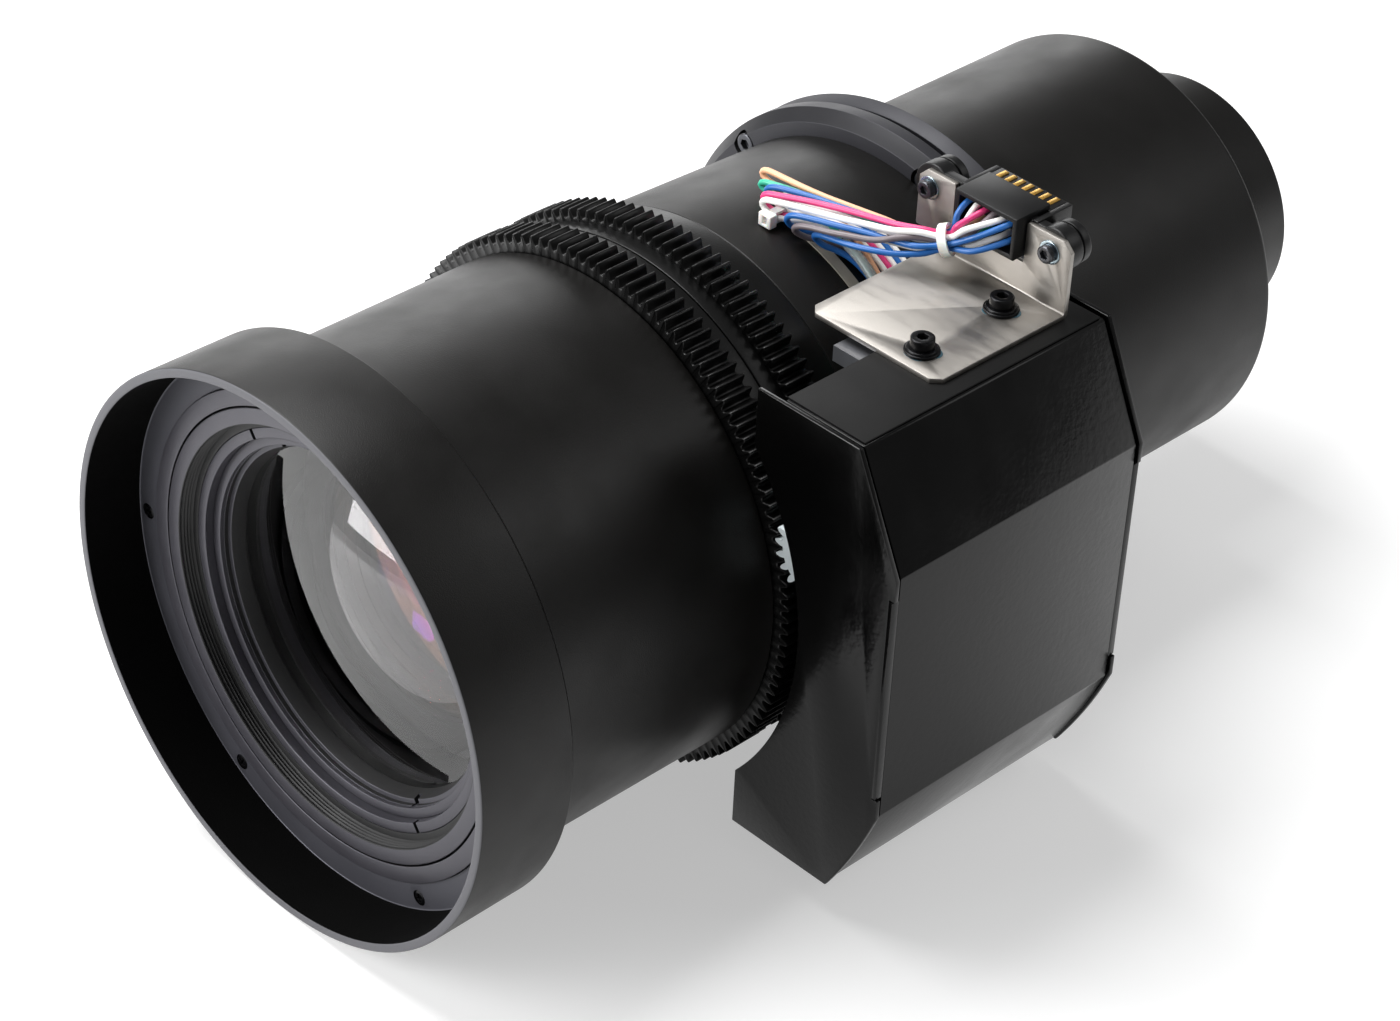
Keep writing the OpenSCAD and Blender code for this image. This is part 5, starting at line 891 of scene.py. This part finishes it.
TEAL = [
    (44, -42.7, 67.7), (38, -43.9, 66.7), (32, -44.4, 66.5), (26, -44.9, 66), (20, -45.3, 65.6),
    (14, -45.9, 65.2), (8, -46.6, 65), (2, -47.6, 64.6), (-1.8, -48, 64), (-3, -48, 62.9),
    (-1.8, -47.7, 61.9), (2, -47.3, 61.7), (6, -47, 62), (10, -46.9, 63), (14, -46.9, 62.8),
    (18, -46.7, 61.6), (22, -46.4, 59.2), (28, -46.2, 56.3), (34, -46.8, 52.8), (42, -51.6, 51.1)
]
PEACH = [
    (44, -42.2, 69.1), (38, -42.9, 68), (32, -43.2, 67.6), (26, -43.6, 67), (20, -43.7, 66.2),
    (14, -44, 65.6), (8, -44.4, 65.3), (1, -44.4, 64.9), (-4.6, -44.3, 64.4), (-6.2, -44.3, 63.2),
    (-5, -44.2, 62), (-1, -44.1, 61.6), (4, -43.9, 61.8), (8, -43.9, 62.6), (12, -44, 63.1),
    (16, -44.1, 62.4), (20, -44, 61.2), (25, -44.2, 58.8), (30, -44.2, 54.9), (37, -45.7, 51.4),
    (45, -49, 51.4)
]
GREY = [
    (44.4, -45.8, 69.8), (40.8, -48.9, 69.3), (36, -51.2, 67.4), (30, -53.1, 66.4), (25, -54.4, 65.6),
    (20, -55, 64.7), (16.8, -55.4, 63.7), (15.2, -55.3, 62.4), (15.2, -54.4, 60.9), (16.4, -52.4, 59.4),
    (18.6, -49.4, 58.2), (21.5, -46.6, 57.2), (25, -44.6, 55.8), (31, -43.8, 52.7), (38, -45.4, 49.5),
    (46, -47.6, 49.6)
]
BLUE_B = [
    (45, -47.1, 68.4), (39, -48.5, 67.6), (32, -50.4, 67.2), (26, -52.3, 66.8), (20, -53.7, 66.2),
    (15, -54.8, 65.4), (12.9, -55, 64.3), (12.2, -54.7, 62.8), (12.7, -53.3, 61), (14.4, -50.8, 59.5),
    (17, -47.4, 58.7), (20, -44.6, 57.7), (24, -42.3, 56.1), (31, -41.8, 52.6), (38, -43.4, 49.5),
    (46, -46, 49.6)
]
BLUE_C = [
    (46.4, -46.2, 66.8), (42, -49.8, 66), (37, -52.2, 65.5), (31, -53.6, 64.7), (25, -53.7, 63.6),
    (21.6, -53.5, 62.8), (19.5, -53.1, 61.6), (19.4, -52.1, 60), (20.6, -50.8, 58.5), (23, -48.4, 57.1),
    (26, -46.6, 55.4), (31, -45.7, 52.3), (38, -48, 49.4), (46, -51.4, 49.9)
]
WHITE_B = [
    (44, -44.8, 66.6), (38, -46.6, 65.8), (32, -48.3, 65.5), (26, -49.8, 65.4), (20, -50.6, 65.2),
    (14, -51.1, 64.9), (8, -51, 64.5), (5.6, -50.9, 63.9), (4.8, -50.8, 62.9), (5.8, -50.4, 61.9),
    (8.6, -50.2, 61.5), (12, -47.8, 61.5), (16, -44.2, 60.5), (20, -41.2, 59.3), (24, -39.2, 57.8),
    (30, -38.8, 54.6), (37, -39.7, 51.3), (45, -41.7, 51)
]
WHITE_C = [
    (44, -44.1, 68.5), (38, -45.4, 67.6), (32, -46.8, 67), (26, -47.6, 66.6), (20, -48.2, 65.8),
    (14, -48.6, 65), (9, -48.4, 63.9), (5, -46.9, 63.4), (3.2, -45.8, 62.7), (3.2, -45.5, 61.9),
    (5.4, -45.4, 61.4), (8.6, -45.2, 61.2), (12, -43.6, 61.2), (16, -40.4, 60.4), (20, -37.6, 59.3),
    (24, -36, 57.8), (30, -35.6, 54.6), (37, -36.5, 51.3), (45, -38.2, 51)
]

WIRES = [
    ("blue", 0, 0, (49.2, -39, 75.6), -1, 0.9, BLUE_A, 8),
    ("blue", 5, 0, (56.9, -41.2, 74), 1.5, 0, BLUE_B, 4),
    ("blue", 5, 1, (57, -41.8, 70.6), 1, -0.9, BLUE_C, 1),
    ("white", 4, 0, (54.6, -42.2, 75.2), 1, 0.9, WHITE_A, 5),
    ("white", 4, 1, (54.6, -40.2, 70.5), 0, -0.9, WHITE_B, 7),
    ("white", 1, 0, (51, -40.1, 72.4), -0.5, 0, WHITE_C, 9),
    ("pink", 2, 0, (52.4, -42.4, 75.3), 0, 0.95, PINK, 6),
    ("grey", 3, 0, (54, -40.7, 72.8), 0.5, 0, GREY, 3),
    ("teal", 2, 1, (51.9, -39.7, 70.4), -1, -0.9, TEAL, 0),
    ("peach", 1, 1, (50.4, -39.4, 70.8), -1.5, 0, PEACH, 2),
]
for k, (colour, place, row, mid, across, up_share, route, header) in enumerate(WIRES):
    node = "wires_" + colour if colour in ("blue", "white") else "wires_coloured"
    line = smooth(wire_route(place, row, mid, across, up_share, route, header), WIRE_STEP)
    wire = tube("wire_" + str(k) + "_" + colour, line, WIRE_R)
    finish_piece(wire, "barrel", [wire_pvc[colour]], [node])

# Clear sleeve on the teal wire, with a dark ring at its upper end
SLEEVED = TEAL[16:19]
sleeve = tube("wire_sleeve", smooth(SLEEVED, WIRE_STEP), 1.25, 24, 0.78)
finish_piece(sleeve, "barrel", [sleeve_plastic], ["wire_sleeve"])
ring_line = smooth(SLEEVED, WIRE_STEP / 2)[1:3]
finish_piece(tube("sleeve_ring", ring_line, 1.28, 24, 0.75), "barrel", [film])

# Flat strip that runs down the barrel from the second tie
Y_STRIP, STRIP_W, STRIP_T, STRIP_FROM, STRIP_TO = -51.5, 3.0, 0.3, 76, 56
MID_TAPER = (MID_REAR_R - MID_FRONT_R) / (Y_FLANGE - Y_MID_FRONT)
STRIP_R = MID_FRONT_R + MID_TAPER * (Y_STRIP - Y_MID_FRONT) + 0.06
outline = [polar(STRIP_R, a) for a in range(STRIP_FROM, STRIP_TO - 1, -1)]
outline += [polar(STRIP_R + STRIP_T, a) for a in range(STRIP_TO, STRIP_FROM + 1)]
strip = prism("sensor_strip", outline, Y_STRIP, Y_STRIP + STRIP_W)
finish_piece(strip, "barrel", [strip_cloth], ["sensor_strip"])


# Nylon ties: a rounded strap with fine teeth, a head with its slot, and a cut tail
def strap(name, path, width, thick):
    """A flat band along a closed path of [x, y] points, drawn across the X axis."""
    n = len(path)
    verts, faces = [], []
    for i, p in enumerate(path):
        last, following = path[i - 1], path[(i + 1) % n]
        out = Vector((following[1] - last[1], last[0] - following[0])).normalized()
        for x, d in ((-width / 2, 0), (-width / 2, thick), (-width * 0.32, thick), (width * 0.32, thick),
                     (width / 2, thick), (width / 2, 0)):
            rise = 0.07 if abs(x) < width * 0.4 and d > 0 and i % 2 else 0.0
            verts.append((x, p[0] + out.x * (d - rise), p[1] + out.y * (d - rise)))
    for i in range(n):
        j = (i + 1) % n
        for k in range(6):
            m = (k + 1) % 6
            faces.append((i * 6 + k, i * 6 + m, j * 6 + m, j * 6 + k))
    return new_piece(name, verts, faces)


STRAP_W = 2.1
band = strap("part", [polar(3.12, a) for a in range(0, 360, 5)], STRAP_W, 0.75)
head = block("part", (-2, 3.5, -3.65), (2, 5.85, -0.25))
cut(head, block("cutter", (-0.55, 3.2, -3.0), (0.55, 6.2, -0.95)))
soften(head, 0.35, 3)
stub = block("part", (-0.9, 3.9, -0.4), (0.9, 4.6, 0.75))
soften(stub, 0.12)
first_tie = joined("first_tie", [band, head, stub])
tilt = Matrix.Rotation(math.radians(30), 4, "Z") @ Matrix.Rotation(math.radians(-20), 4, "Y")
finish_piece(moved(first_tie, shift(49, -41.9, 69.8) @ tilt), "barrel", [nylon], ["cable_ties"])

second_path = fillet([(-1.55, -0.8), (1.55, -0.8), (1.55, 0.8), (-1.55, 0.8)], 0.5, 4)
band = strap("part", second_path, STRAP_W, 0.68)
head = block("part", (-2, -4.3, -1.7), (2, -1.95, 1.7))
cut(head, block("cutter", (-0.55, -5, -1.0), (0.55, -1.6, 0.9)))
soften(head, 0.35, 3)
second_tie = moved(joined("second_tie", [band, head]), shift(7.5, -53, 61.5))
finish_piece(second_tie, "barrel", [nylon], ["cable_ties"])

# Looks of the parts inside, which keep their CAD shapes
INSIDE = {
    brass: ("focus_key", "zoom_key"),
    steel: ("guide_pins", "box_posts", "gear_plate_posts", "motor_frame", "gear_plate", "focus_motor",
            "zoom_motor"),
    oxide: ("tail_screws", "frame_screws"),
    cell_black: ("zoom_cell",),
    gearbox_zinc: ("focus_gearbox", "zoom_gearbox"),
    acetal: ("focus_pinion", "zoom_pinion", "focus_sensor_gear", "zoom_sensor_gear"),
    sensor_blue: ("focus_sensor", "zoom_sensor"),
    board_green: ("terminal_board",),
}
for material, names in INSIDE.items():
    for name in names:
        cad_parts[name].data.materials.clear()
        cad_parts[name].data.materials.append(material)

# Studio: a pale floor, a white surround and soft lights
WHITE = (1.0, 1.0, 1.0, 1.0)
FAR = 6000
corners = [(x * FAR, y * FAR, Z_FLOOR) for x, y in ((-1, -1), (1, -1), (1, 1), (-1, 1))]
floor = new_piece("floor", corners, [(0, 1, 2, 3)])
floor_paint = surface("pale_floor", "#cfcfcf", 0.9, tone=0.01, patch_mm=400, Emission_Color=WHITE,
                      Emission_Strength=0.45)
floor.data.materials.append(floor_paint)

world = bpy.data.worlds.new("studio")
bpy.context.scene.world = world
world.use_nodes = True
surround = world.node_tree.nodes["Background"].inputs
surround["Color"].default_value = WHITE
surround["Strength"].default_value = 0.22


def softbox(name, at, aim, size, watts):
    lamp = bpy.data.lights.new(name, "AREA")
    lamp.shape = "RECTANGLE"
    lamp.size, lamp.size_y = size
    lamp.energy = watts
    holder = bpy.data.objects.new(name, lamp)
    bpy.context.scene.collection.objects.link(holder)
    holder.location = at
    holder.rotation_euler = (Vector(at) - Vector(aim)).to_track_quat("Z", "Y").to_euler()


softbox("key", (-0.45, -0.15, 0.95), (0, -0.08, 0), (0.7, 0.7), 16)
softbox("back_left", (-1.0, 0.65, 0.32), (0, -0.02, 0), (0.9, 0.45), 3.6)
softbox("fill", (-0.5, -0.95, 0.35), (0, -0.1, 0), (0.7, 0.5), 13)
softbox("rim", (0.55, 0.5, 0.6), (0.04, -0.06, 0), (0.5, 0.5), 1.2)
bpy.context.scene.view_settings.view_transform = "Standard"
